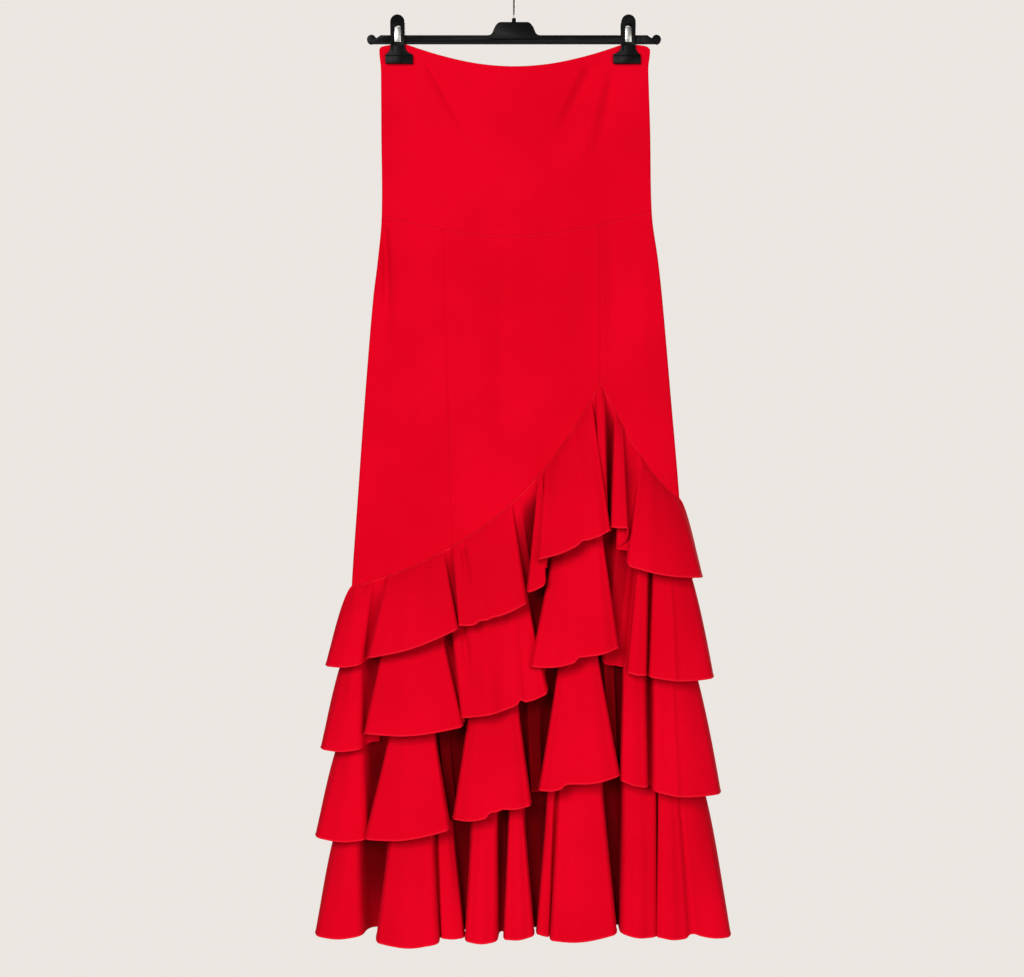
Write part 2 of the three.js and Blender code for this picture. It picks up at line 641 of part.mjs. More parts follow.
/** The wire hook. It goes up in front of a rail that runs along X, over it, and ends behind it. */
function makeHook() {
  const centreZ = HOOK.wire - HOOK.radius;
  const point = (forward, z) => new THREE.Vector3(0, FRONT * forward, z);
  const turn = (degrees) => {
    const a = THREE.MathUtils.degToRad(degrees);
    return point(HOOK.radius * Math.cos(a), centreZ + HOOK.radius * Math.sin(a));
  };
  const path = new THREE.CurvePath();
  const { foot, shankTop, bend, turnIn, start, tip, step } = HOOK;
  const bendFoot = point(0, shankTop - bend);
  const beforeTurn = turn(start).add(point(turnIn.forward, turnIn.z));
  path.add(new THREE.LineCurve3(point(0, foot), bendFoot));
  path.add(new THREE.CubicBezierCurve3(bendFoot, point(0, shankTop), beforeTurn, turn(start)));
  for (let a = start; a < tip; a += step) path.add(new THREE.LineCurve3(turn(a), turn(a + step)));
  const section = new THREE.Shape();
  section.absarc(0, 0, HOOK.wire, 0, 2 * Math.PI, false);
  const options = { steps: HOOK.rings, extrudePath: path, curveSegments: 4 };
  add("hook", new THREE.ExtrudeGeometry(section, options), STEEL);
}

/** One clip: a front and a rear jaw of black plastic on the bar, and the steel spring that closes them. */
function makeClip(word, x, inward) {
  const { top, flare, shoulder, jawFoot, arm, jaw, bevel, offset, slot, strip } = CLIP;
  const jawX = inward * offset;
  const face = new THREE.Shape();
  face.moveTo(jawX - jaw + bevel, jawFoot);
  face.lineTo(jawX + jaw - bevel, jawFoot);
  face.lineTo(jawX + jaw, jawFoot + bevel);
  face.lineTo(jawX + jaw, shoulder);
  face.quadraticCurveTo(arm, shoulder + 2 * bevel, arm, flare);
  face.absarc(0, top - arm, arm, 0, Math.PI, false);
  face.lineTo(-arm, flare);
  face.quadraticCurveTo(-arm, shoulder + 2 * bevel, jawX - jaw, shoulder);
  face.lineTo(jawX - jaw, jawFoot + bevel);
  const window = new THREE.Path();
  window.moveTo(-slot.half, slot.foot);
  window.lineTo(-slot.half, slot.top - slot.half);
  window.absarc(0, slot.top - slot.half, slot.half, Math.PI, 0, true);
  window.lineTo(slot.half, slot.foot);
  face.holes.push(window);
  const inside = new THREE.Shape();
  const inset = arm - CLIP.rim;
  inside.moveTo(-inset, flare);
  inside.lineTo(inset, flare);
  inside.absarc(0, top - arm, inset, 0, Math.PI, false);
  const middle = outline([[-strip, jawFoot], [strip, jawFoot], [strip, slot.foot], [-strip, slot.foot]]);

  const cut = (shape, forward) => {
    const fromSide = solid(slab(clipProfile(forward), CLIP_REACH, x));
    return solid(plate(shape, CLIP_REACH).translate(x, 0, 0)).intersect(fromSide);
  };
  const made = cut(face, 0).add(cut(middle, CLIP.raise)).subtract(cut(inside, CLIP.sunk));
  const frontJaw = geometryOf(made);
  add(`clip_${word}_front_jaw`, frontJaw, BLACK);
  const rear = frontJaw.clone().scale(1, -1, 1);
  const index = [...rear.index.array];
  for (let i = 0; i < index.length; i += 3) [index[i], index[i + 1]] = [index[i + 1], index[i]];
  add(`clip_${word}_rear_jaw`, rear.setIndex(index), BLACK);
  makeSpring(word, x);
}

/** A clip's jaw from the side: how far in front of the middle and how high, from its bite round its back. */
function clipProfile(forward) {
  const { top, flare, jawFoot, shoulder, bite, jawThick, lip, armThick, splay } = CLIP;
  const barSide = BAR.thick / 2 + CLIP.barGap;
  const points = [
    [bite, jawFoot],
    [bite + jawThick + lip.raise, jawFoot],
    [bite + jawThick + lip.raise, jawFoot + lip.height],
    [bite + jawThick, jawFoot + lip.height + lip.raise],
    [bite + jawThick, shoulder],
    [barSide + armThick, flare],
    [barSide + armThick, BAR.z],
    [barSide + armThick + splay, top],
    [barSide + splay, top],
    [barSide, BAR.z],
    [barSide, flare],
    [bite, shoulder],
  ];
  return outline(points.map(([out, z]) => [out + forward, z]));
}

/** A steel strip bent over the bar, its legs in the slots of both jaws. */
function makeSpring(word, x) {
  const { half, top, foot, inner, thick } = SPRING;
  const strip = outline([
    [-inner - thick, foot],
    [-inner, foot],
    [-inner, top - thick],
    [inner, top - thick],
    [inner, foot],
    [inner + thick, foot],
    [inner + thick, top],
    [-inner - thick, top],
  ]);
  add(`clip_${word}_spring`, slab(strip, half, x), STEEL);
}

makeFlatPieces();
makeFlounces();
makeBar();
makeHook();
makeClip("left", CLIP.x[0], 1);
makeClip("right", CLIP.x[1], -1);

export default skirt;
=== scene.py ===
"""A red flamenco skirt with four flounces, clipped to a black trouser hanger and hanging flat.

The tables below are in millimetres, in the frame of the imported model: +X to the right, +Y away from the
viewer, +Z up, and the origin at the inside of the hook's crown. Meshes are made in metres.
"""

from __future__ import annotations

import json
import logging
import math
from dataclasses import dataclass
from enum import Enum
from typing import Callable, Sequence

import bmesh
import bpy
import numpy as np
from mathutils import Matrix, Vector

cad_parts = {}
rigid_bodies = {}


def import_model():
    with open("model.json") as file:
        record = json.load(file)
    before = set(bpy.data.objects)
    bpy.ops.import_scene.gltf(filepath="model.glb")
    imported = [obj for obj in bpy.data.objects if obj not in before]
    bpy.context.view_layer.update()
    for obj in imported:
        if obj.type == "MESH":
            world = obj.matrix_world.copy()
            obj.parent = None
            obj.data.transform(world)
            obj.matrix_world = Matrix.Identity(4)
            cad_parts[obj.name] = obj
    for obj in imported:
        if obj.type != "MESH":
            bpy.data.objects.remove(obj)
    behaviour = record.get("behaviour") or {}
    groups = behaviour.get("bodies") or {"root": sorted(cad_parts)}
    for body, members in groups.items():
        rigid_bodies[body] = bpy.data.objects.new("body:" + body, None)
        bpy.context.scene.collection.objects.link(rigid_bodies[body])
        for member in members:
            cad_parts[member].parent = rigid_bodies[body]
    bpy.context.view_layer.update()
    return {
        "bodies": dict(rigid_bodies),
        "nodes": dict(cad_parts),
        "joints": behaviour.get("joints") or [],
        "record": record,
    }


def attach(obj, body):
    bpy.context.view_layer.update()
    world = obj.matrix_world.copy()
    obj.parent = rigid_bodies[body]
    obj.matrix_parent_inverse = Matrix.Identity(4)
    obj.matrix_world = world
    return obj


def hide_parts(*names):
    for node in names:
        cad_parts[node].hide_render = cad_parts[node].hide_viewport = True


log = logging.getLogger("flamenco_skirt")

MM = 0.001
Array = np.ndarray
Curve = Callable[[Array], Array]


# ---- Small maths ---------------------------------------------------------------------------------


def lerp(a: Array | float, b: Array | float, t: Array | float) -> Array | float:
    """The value a share t of the way from a to b."""
    return a + (b - a) * t


def ease(value: Array | float, low: float, high: float) -> Array:
    """A smooth step from 0 at low to 1 at high."""
    t = np.clip((np.asarray(value, float) - low) / (high - low), 0.0, 1.0)
    return t * t * (3.0 - 2.0 * t)


def bell(value: Array, width: float | Array) -> Array:
    """A soft hump: 1 at a value of 0, and near 0 beyond two widths."""
    return np.exp(-((value / width) ** 2))


def softened(values: Array, sigma: float) -> Array:
    """Values along a line after a small blur that keeps both ends where they are.

    Args:
        values: The numbers, evenly spaced.
        sigma: Width of the blur, in steps.

    Returns:
        As many numbers.
    """
    reach = int(math.ceil(3 * sigma))
    steps = np.arange(-reach, reach + 1)
    weights = np.exp(-0.5 * (steps / sigma) ** 2)
    head = 2 * values[0] - values[reach:0:-1]
    tail = 2 * values[-1] - values[-2 : -reach - 2 : -1]
    return np.convolve(np.concatenate([head, values, tail]), weights / weights.sum(), "valid")


def stations(length: Array, head: Sequence[float], tail: Sequence[float], count: int) -> Array:
    """Distances along each of several lengths, close together at both ends.

    Args:
        length: The lengths.
        head: Distances from the start, from 0 up.
        tail: Distances from the end, down to 0.
        count: How many more lie between them, evenly spaced.

    Returns:
        An array with a row for each station and a column for each length.
    """
    length = np.atleast_1d(length)
    share = np.linspace(0, 1, count + 2)[1:-1, None]
    ones = np.ones_like(length)
    start = np.array(head)[:, None] * ones
    end = length - np.array(tail)[:, None] * ones
    return np.vstack([start, lerp(start[-1], end[0], share), end])


def slant(seam: Curve, x: Array) -> Array:
    """How much longer a distance along Z is at x than one square to a seam."""
    return np.hypot(1, seam(x + 0.5) - seam(x - 0.5))


def add(name: str, data: bpy.types.ID) -> bpy.types.Object:
    """Makes an object of a mesh, a light or a camera, and puts it in the scene.

    Args:
        name: The object's name.
        data: Its mesh, light or camera data.

    Returns:
        The object.
    """
    made = bpy.data.objects.new(name, data)
    bpy.context.scene.collection.objects.link(made)
    return made


def smooth(mesh: bpy.types.Mesh, degrees: float) -> None:
    """Shades a mesh smooth, except at edges where two faces meet at a larger angle."""
    mesh.shade_smooth()
    mesh.set_sharp_from_angle(angle=math.radians(degrees))


# ---- Shader recipes ------------------------------------------------------------------------------


class Wire:
    """A shader socket that takes part in Python expressions on values."""

    def __init__(self, recipe: Recipe, socket: bpy.types.NodeSocket) -> None:
        """Wraps an output socket of a recipe's tree."""
        self.recipe = recipe
        self.socket = socket

    def _math(self, operation: str, first: Wire | float, second: Wire | float) -> Wire:
        """Adds a Math node and returns its result."""
        return self.recipe.node("ShaderNodeMath", {"operation": operation}, {0: first, 1: second})

    def __add__(self, other: Wire | float) -> Wire:
        """The sum."""
        return self._math("ADD", self, other)

    __radd__ = __add__

    def __sub__(self, other: Wire | float) -> Wire:
        """The difference."""
        return self._math("SUBTRACT", self, other)

    def __rsub__(self, other: float) -> Wire:
        """The difference the other way round."""
        return self._math("SUBTRACT", other, self)

    def __mul__(self, other: Wire | float) -> Wire:
        """The product."""
        return self._math("MULTIPLY", self, other)

    __rmul__ = __mul__

    def step(self, low: float, high: float) -> Wire:
        """A smooth step from 0 at low to 1 at high."""
        settings = {"interpolation_type": "SMOOTHSTEP"}
        return self.recipe.node("ShaderNodeMapRange", settings, {"Value": self, 1: low, 2: high})


class Recipe:
    """A node tree of a material or the world, written as expressions."""

    def __init__(self, owner: bpy.types.Material | bpy.types.World) -> None:
        """Empties the owner's node tree.

        Args:
            owner: The material or the world.
        """
        owner.use_nodes = True
        self.tree = owner.node_tree
        self.tree.nodes.clear()

    def node(
        self, kind: str, settings: dict | None = None, sockets: dict | None = None, out: int | str = 0
    ) -> Wire:
        """Adds one node.

        Args:
            kind: The node's type.
            settings: Its properties, set first.
            sockets: Values or links of its inputs, by name or number.
            out: The output that is returned.

        Returns:
            That output.
        """
        made = self.tree.nodes.new(kind)
        for name, value in (settings or {}).items():
            setattr(made, name, value)
        for key, value in (sockets or {}).items():
            if isinstance(value, Wire):
                self.tree.links.new(value.socket, made.inputs[key])
            else:
                made.inputs[key].default_value = value
        return Wire(self, made.outputs[out] if made.outputs else None)

    def noise(self, place: Wire, scale: float, detail: float = 2.0, roughness: float = 0.5) -> Wire:
        """A noise value at a place."""
        sockets = {"Vector": place, "Scale": scale, "Detail": detail, "Roughness": roughness}
        return self.node("ShaderNodeTexNoise", {}, sockets)

    def mix(self, share: Wire | float, first: Wire | tuple, second: Wire | tuple) -> Wire:
        """A mix of two colours."""
        return self.node("ShaderNodeMix", {"data_type": "RGBA"}, {0: share, 6: first, 7: second}, 2)

    def bump(self, height: Wire, distance: float, strength: float = 1.0) -> Wire:
        """A normal bumped by a height, whose full range is distance metres."""
        sockets = {"Strength": strength, "Distance": distance, "Height": height}
        return self.node("ShaderNodeBump", {}, sockets)

    def place(self) -> Wire:
        """The place on the object, in metres."""
        return self.node("ShaderNodeTexCoord", {}, {}, "Object")


class Finish:
    """A material of one Principled shader. Each kind of finish gives that shader's sockets."""

    name: str

    def sockets(self, recipe: Recipe) -> dict[str, object]:
        """The shader's sockets: values, or what the recipe works out."""
        raise NotImplementedError

    def make(self) -> bpy.types.Material:
        """Builds the material.

        Returns:
            The material.
        """
        made = bpy.data.materials.new(self.name)
        recipe = Recipe(made)
        shader = recipe.node("ShaderNodeBsdfPrincipled", {}, self.sockets(recipe))
        recipe.node("ShaderNodeOutputMaterial", {}, {"Surface": shader})
        return made


@dataclass(frozen=True)
class CrepeJersey(Finish):
    """Heavy matte crepe jersey: a pebbled face, a faint red sheen, painted highlights and painted shade.

    The walls' edge attribute: 1 is a rolled edge's painted highlight, -1 a deep fold's painted shade.
    """

    name: str = "crepe_jersey"
    colour: tuple = (0.57, 0.0004, 0.0115, 1)
    deep: tuple = (0.52, 0.0003, 0.0095, 1)
    # Painted highlight: the paler colour laid on rolled edges and seam lines.
    rolled: tuple = (0.72, 0.010, 0.026, 1)
    # Painted shade: the dark colour laid in deep folds and along the yoke's seam.
    painted_shade_colour: tuple = (0.085, 0.0001, 0.0010, 1)
    roughness: float = 0.74
    mottles: float = 7.0  # patches of deeper dye to a metre
    pebbles: float = 900.0  # to a metre
    threads: float = 2070.0  # to a metre
    slubs: float = 120.0  # thick places in the yarn to a metre
    relief: float = 0.00010  # of the crepe face, in metres
    parts: tuple = (0.6, 0.25, 0.3)  # that pebbles, threads and slubs have in the relief
    speckle: float = 0.12  # how far the slubs change the roughness

    def sockets(self, recipe: Recipe) -> dict[str, object]:
        """The shader's sockets.

        Args:
            recipe: The recipe that gets the nodes.

        Returns:
            Values and wires by the sockets' names.
        """
        place = recipe.place()
        mottled = recipe.noise(place, self.mottles, 3.0)
        ground = recipe.mix(mottled.step(0.35, 0.65), self.deep, self.colour)
        # The edge attribute carries painted highlight where positive and painted shade where negative.
        edge = recipe.node("ShaderNodeAttribute", {"attribute_name": "edge"}, {}, "Fac")
        # painted shade where the edge attribute is negative
        shaded = recipe.mix(edge.step(0, -1), ground, self.painted_shade_colour)
        pebbles = recipe.noise(place, self.pebbles, 2.0, 0.6)
        threads = recipe.noise(place, self.threads, 1.0)
        slubs = recipe.noise(place, self.slubs, 2.0)
        pebbled, threaded, slubbed = self.parts
        height = pebbles * pebbled + threads * threaded + slubs * slubbed
        return {
            # painted highlight on rolled edges and seams
            "Base Color": recipe.mix(edge.step(0, 1), shaded, self.rolled),
            "Roughness": self.roughness + (slubs - 0.5) * self.speckle,
            "Normal": recipe.bump(height, self.relief, 0.6),
            "Specular IOR Level": 0.06,
            "Specular Tint": (1.0, 0.16, 0.2, 1),
            "Sheen Weight": 0.08,
            "Sheen Roughness": 0.45,
            "Sheen Tint": (1.0, 0.06, 0.1, 1),
        }


@dataclass(frozen=True)
class MouldedPlastic(Finish):
    """Black moulded plastic with a fine spark-eroded texture and faint handling marks."""

    name: str = "black_moulded_plastic"
    colour: tuple = (0.003, 0.003, 0.0035, 1)
    worn: tuple = (0.006, 0.006, 0.0065, 1)
    roughness: float = 0.34
    grain: float = 1500.0  # sparks to a metre
    scuffs: float = 60.0  # to a metre
    relief: float = 0.00002  # of the grain, in metres

    def sockets(self, recipe: Recipe) -> dict[str, object]:
        """The shader's sockets.

        Args:
            recipe: The recipe that gets the nodes.

        Returns:
            Values and wires by the sockets' names.
        """
        place = recipe.place()
        scuffed = recipe.noise(place, self.scuffs, 5.0, 0.6).step(0.5, 0.72)
        grain = recipe.noise(place, self.grain, 2.0)
        return {
            "Base Color": recipe.mix(scuffed, self.colour, self.worn),
            "Roughness": self.roughness + scuffed * 0.14,
            "Normal": recipe.bump(grain, self.relief, 0.5),
            "Specular IOR Level": 0.045,
        }


@dataclass(frozen=True)
class DrawnSteel(Finish):
    """Bright drawn steel: long faint die marks and a little variation in its polish."""

    name: str = "drawn_steel"
    colour: tuple = (0.32, 0.32, 0.31, 1)
    dull: tuple = (0.20, 0.20, 0.19, 1)
    roughness: float = 0.28
    marks: tuple = (3000.0, 3000.0, 90.0)  # die marks to a metre, along each axis
    patches: float = 140.0  # to a metre
    relief: float = 0.00001  # of the marks, in metres

    def sockets(self, recipe: Recipe) -> dict[str, object]:
        """The shader's sockets.

        Args:
            recipe: The recipe that gets the nodes.

        Returns:
            Values and wires by the sockets' names.
        """
        place = recipe.place()
        drawn = recipe.node("ShaderNodeVectorMath", {"operation": "MULTIPLY"}, {0: place, 1: self.marks})
        marks = recipe.noise(drawn, 1.0, 2.0)
        patches = recipe.noise(place, self.patches, 3.0)
        return {
            "Base Color": recipe.mix(patches.step(0.4, 0.75), self.colour, self.dull),
            "Roughness": self.roughness + patches * 0.12,
            "Normal": recipe.bump(marks, self.relief, 0.4),
            "Metallic": 1.0,
        }


@dataclass(frozen=True)
class StudioPaint(Finish):
    """Plain pale matt paint of the studio floor."""

    name: str = "studio_paint"
    colour: tuple = (0.60, 0.58, 0.55, 1)
    roughness: float = 0.85

    def sockets(self, recipe: Recipe) -> dict[str, object]:
        """The shader's sockets."""
        return {"Base Color": self.colour, "Roughness": self.roughness}


# ---- The cut of the skirt ------------------------------------------------------------------------


class Side(Enum):
    """The two faces of the skirt. The value is the face's direction along Y."""

    FRONT = -1
    BACK = 1

    @property
    def word(self) -> str:
        """The side's name in the names of pieces."""
        return self.name.lower()


class Slot(Enum):
    """The record's material slots."""

    CLOTH = "cloth"
    PLASTIC = "hanger_plastic"
    STEEL = "steel_wire"


CLOTH = 1.0  # wall of the cloth
WALL_MID = 0.75  # middle of a wall that lies flat against its twin
SEAM_GAP = 0.06  # between neighbouring pieces at a seam
SWELL_POWER = 0.7  # roundness of the tube between its side seams
CLIP_X = (-133.6, 131.2)  # middles of the clips
JAW_FOOT = -100.9  # lower edge of their jaws
PINCH = {"full": 20, "none": 62, "above": 4, "below": 90}  # how far round a clip it holds the cloth flat


@dataclass(frozen=True)
class TubeRow:
    """A level of the skirt's tube: its side seams and how far its front and back stand from the middle."""

    z: float
    left: float
    right: float
    depth: float


@dataclass(frozen=True)
class Tube:
    """The tube that the yoke and panels make, on smooth curves through its rows."""

    rows: tuple[TubeRow, ...] = (
        TubeRow(-80, -154.5, 156.3, 3),
        TubeRow(-88, -154.8, 156.4, 3.3),
        TubeRow(-104, -153.2, 154.6, 3.8),
        TubeRow(-130, -152.8, 155.1, 4.6),
        TubeRow(-176, -152.5, 156.5, 6),
        TubeRow(-274, -152, 158.5, 9),
        TubeRow(-326, -156.5, 165.5, 11),
        TubeRow(-372, -162, 170.5, 12.5),
        TubeRow(-487, -171.5, 180.5, 15),
        TubeRow(-599, -179.5, 190, 18),
        TubeRow(-701, -186.5, 196, 20),
        TubeRow(-832, -192, 205, 23),
        TubeRow(-990, -200, 215, 26),
    )

    def at(self, z: Array, name: str) -> Array:
        """A column of the table at heights z.

        Args:
            z: The heights.
            name: The column.

        Returns:
            Its values there.
        """
        heights = np.array([row.z for row in self.rows])
        values = np.array([getattr(row, name) for row in self.rows])
        slopes = np.empty_like(values)
        slopes[1:-1] = (values[2:] - values[:-2]) / (heights[2:] - heights[:-2])
        slopes[0] = (values[1] - values[0]) / (heights[1] - heights[0])
        slopes[-1] = (values[-1] - values[-2]) / (heights[-1] - heights[-2])
        z = np.clip(z, heights[-1], heights[0])
        below = np.clip(np.searchsorted(-heights, -z), 1, len(heights) - 1)
        above = below - 1
        run = heights[below] - heights[above]
        t = (z - heights[above]) / run
        t2, t3 = t * t, t * t * t
        ends = values[above] * (2 * t3 - 3 * t2 + 1) + values[below] * (3 * t2 - 2 * t3)
        return ends + run * (slopes[above] * (t3 - 2 * t2 + t) + slopes[below] * (t3 - t2))

    def left(self, z: Array) -> Array:
        """The left side seam's x."""
        return self.at(z, "left")

    def right(self, z: Array) -> Array:
        """The right side seam's x."""
        return self.at(z, "right")

    def depth(self, z: Array) -> Array:
        """How far the middle of a face stands from the skirt's middle plane."""
        return self.at(z, "depth")

    def across(self, x: Array, z: Array, inset: float = 0.0) -> Array:
        """Where x lies between the side seams: -1 at the left one, 1 at the right one."""
        left, right = self.left(z) + inset, self.right(z) - inset
        return np.clip((2 * x - left - right) / (right - left), -1, 1)

    @staticmethod
    def swell(across: Array) -> Array:
        """How round the tube stands at a place between its side seams."""
        return np.maximum(0.0, 1 - across * across) ** SWELL_POWER

    @staticmethod
    def pinch(x: Array, z: Array) -> Array:
        """How hard a clip squeezes front and back together: 1 between its jaws, 0 away from it.

        Args:
            x: Places across the skirt.
            z: Their heights.

        Returns:
            A share for each place.
        """
        aside = np.minimum(np.abs(x - CLIP_X[0]), np.abs(x - CLIP_X[1]))
        held = ease(z, JAW_FOOT - PINCH["below"], JAW_FOOT - PINCH["above"])
        return (1 - ease(aside, PINCH["full"], PINCH["none"])) * held


@dataclass(frozen=True)
class FlounceSeam:
    """A tier's seam: its height at both side seams and at its peak, and the steep share of its climb."""

    left: float
    peak: float
    right: float
    arch: float


@dataclass(frozen=True)
class Seams:
    """Every seam line of the skirt, and its waist."""

    tube: Tube
    tiers: tuple[FlounceSeam, ...] = (
        FlounceSeam(-700.6, -467.5, -599.4, 0.4),
        FlounceSeam(-769.6, -607.3, -668.4, 0.25),
        FlounceSeam(-863.9, -746, -785.7, 0.2),
        FlounceSeam(-967.4, -893.2, -914.5, 0.15),
    )
    peak_x: float = 98.8
    left_bow: float = 1.3
    arch_bow: float = 4.0
    right_bow: float = 1.4
    waist_middle: float = 0.5
    waist_level: float = -77.5
    waist_half: float = 126.0
    waist_dip: float = 26.2
    waist_power: float = 1.12
    shoulder_run: float = 27.72  # outside the waist's dip
    shoulder_fall: float = 3.0
    corner_x: float = 155.2  # from the waist's middle to its rounded corners
    corner_cut: float = 2.4
    corner_width: float = 1.2
    yoke_middle: float = 3.0
    yoke_half: float = 155.0
    yoke_ends: tuple[float, float] = (-276.3, -271.1)
    yoke_dip: float = 25.3
    yoke_power: float = 1.2
    princess_top: tuple[float, float] = (-81.3, -295.0)  # (x, z) of the left princess seam
    princess_foot: tuple[float, float] = (-70.8, -655.0)

    def waist(self, x: Array) -> Array:
        """The waist's edge: it dips between the clips and has a rounded corner outside each.

        Args:
            x: Places across the skirt.

        Returns:
            The edge's heights.
        """
        away = np.abs(x - self.waist_middle)
        share = away / self.waist_half
        dip = self.waist_dip * np.maximum(0.0, 1 - share * share) ** self.waist_power
        fall = self.shoulder_fall * ((away - self.waist_half) / self.shoulder_run) ** 2
        corner = self.corner_cut * np.exp(-np.maximum(0.0, self.corner_x - away) / self.corner_width)
        return self.waist_level - np.where(share > 1, fall + corner, dip)

    def yoke(self, x: Array) -> Array:
        """The seam between the yoke and the panels."""
        t = np.clip((x - self.yoke_middle) / self.yoke_half, -1, 1)
        return lerp(*self.yoke_ends, (t + 1) / 2) - self.yoke_dip * (1 - t * t) ** self.yoke_power

    def left_princess(self, z: Array) -> Array:
        """The left princess seam's x."""
        (top_x, top_z), (foot_x, foot_z) = self.princess_top, self.princess_foot
        return lerp(top_x, foot_x, (z - top_z) / (foot_z - top_z))

    def right_princess(self, z: Array) -> Array:
        """The right princess seam's x. It runs down to the first flounce's peak."""
        return np.full_like(np.asarray(z, float), self.peak_x)

    def tier(self, tier: int, side: Side, x: Array) -> Array:
        """The height of a tier's seam at x.

        Args:
            tier: The tier, from 0 at the top.
            side: The side of the skirt.
            x: Places across the skirt.

        Returns:
            The seam's heights.
        """
        seam = self.tiers[tier]
        left = float(self.tube.left(np.array(seam.left)))
        right = float(self.tube.right(np.array(seam.right)))
        if side is Side.BACK:
            return lerp(seam.left, seam.right, ease(x, left, right))
        fall = np.clip((right - x) / (right - self.peak_x), 0, 1)
        rise = np.clip((x - left) / (self.peak_x - left), 0, 1)
        climb = (1 - seam.arch) * rise**self.left_bow + seam.arch * rise**self.arch_bow
        on_right = lerp(seam.right, seam.peak, fall**self.right_bow)
        return np.where(x > self.peak_x, on_right, lerp(seam.left, seam.peak, climb))

    def line(self, tier: int, side: Side) -> Curve:
        """A tier's seam as a curve."""
        return lambda x: self.tier(tier, side, x)


@dataclass(frozen=True)
class Crease:
    """A soft ridge, or a trough where its height is negative, along a smooth line of (x, z) points."""

    line: tuple[tuple[float, float], ...]
    width: float
    height: float
    start_fade: float = 0.25
    end_fade: float = 0.45

    STEPS = 48  # along the line
    OVERRUN = 0.02  # of the fades, beyond both ends
    WIDEN = (0.7, 1.3)  # the width at its start and end, as shares
    MIRRORED = {"across": -0.96, "width": 1.1}  # a back crease's, as shares of the front one's

    def lift(self, x: Array, z: Array) -> Array:
        """How far the crease moves the cloth out at each point.

        Args:
            x: The points' places across.
            z: Their heights.

        Returns:
            Distances outwards, of the same shape.
        """
        knots = np.linspace(0, 1, len(self.line))
        share = np.linspace(0, 1, self.STEPS)
        along = np.array(self.line, float)
        degree = len(self.line) - 1
        path_x = np.polyval(np.polyfit(knots, along[:, 0], degree), share)
        path_z = np.polyval(np.polyfit(knots, along[:, 1], degree), share)
        best = np.full(x.shape, np.inf)
        where = np.zeros(x.shape)
        for px, pz, t in zip(path_x, path_z, share):
            away = (x - px) ** 2 + (z - pz) ** 2
            nearer = away < best
            best = np.where(nearer, away, best)
            where = np.where(nearer, t, where)
        width = self.width * lerp(*self.WIDEN, where)
        start = ease(where, -self.OVERRUN, self.start_fade)
        end = 1 - ease(where, 1 - self.end_fade, 1 + self.OVERRUN)
        return self.height * start * end * np.exp(-best / width**2)

    def mirrored(self, shift: float, scale: float) -> Crease:
        """A similar crease for the back: mirrored in X, moved along Z and scaled in height.

        Args:
            shift: How far up it moves.
            scale: What its height is multiplied by.

        Returns:
            The back's crease.
        """
        line = tuple((self.MIRRORED["across"] * x, z + shift) for x, z in self.line)
        width = self.width * self.MIRRORED["width"]
        return Crease(line, width, self.height * scale, self.start_fade, self.end_fade)


def mirrored(
    creases: Sequence[Crease], shifts: Sequence[float], scales: Sequence[float]
) -> tuple[Crease, ...]:
    """The back's creases. Their shifts and scales are taken in turn.

    Args:
        creases: The front's creases.
        shifts: How far up they move.
        scales: What their heights are multiplied by.

    Returns:
        The back's creases.
    """
    return tuple(
        crease.mirrored(shifts[i % len(shifts)], scales[i % len(scales)]) for i, crease in enumerate(creases)
    )


# ---- Cloth walls ---------------------------------------------------------------------------------


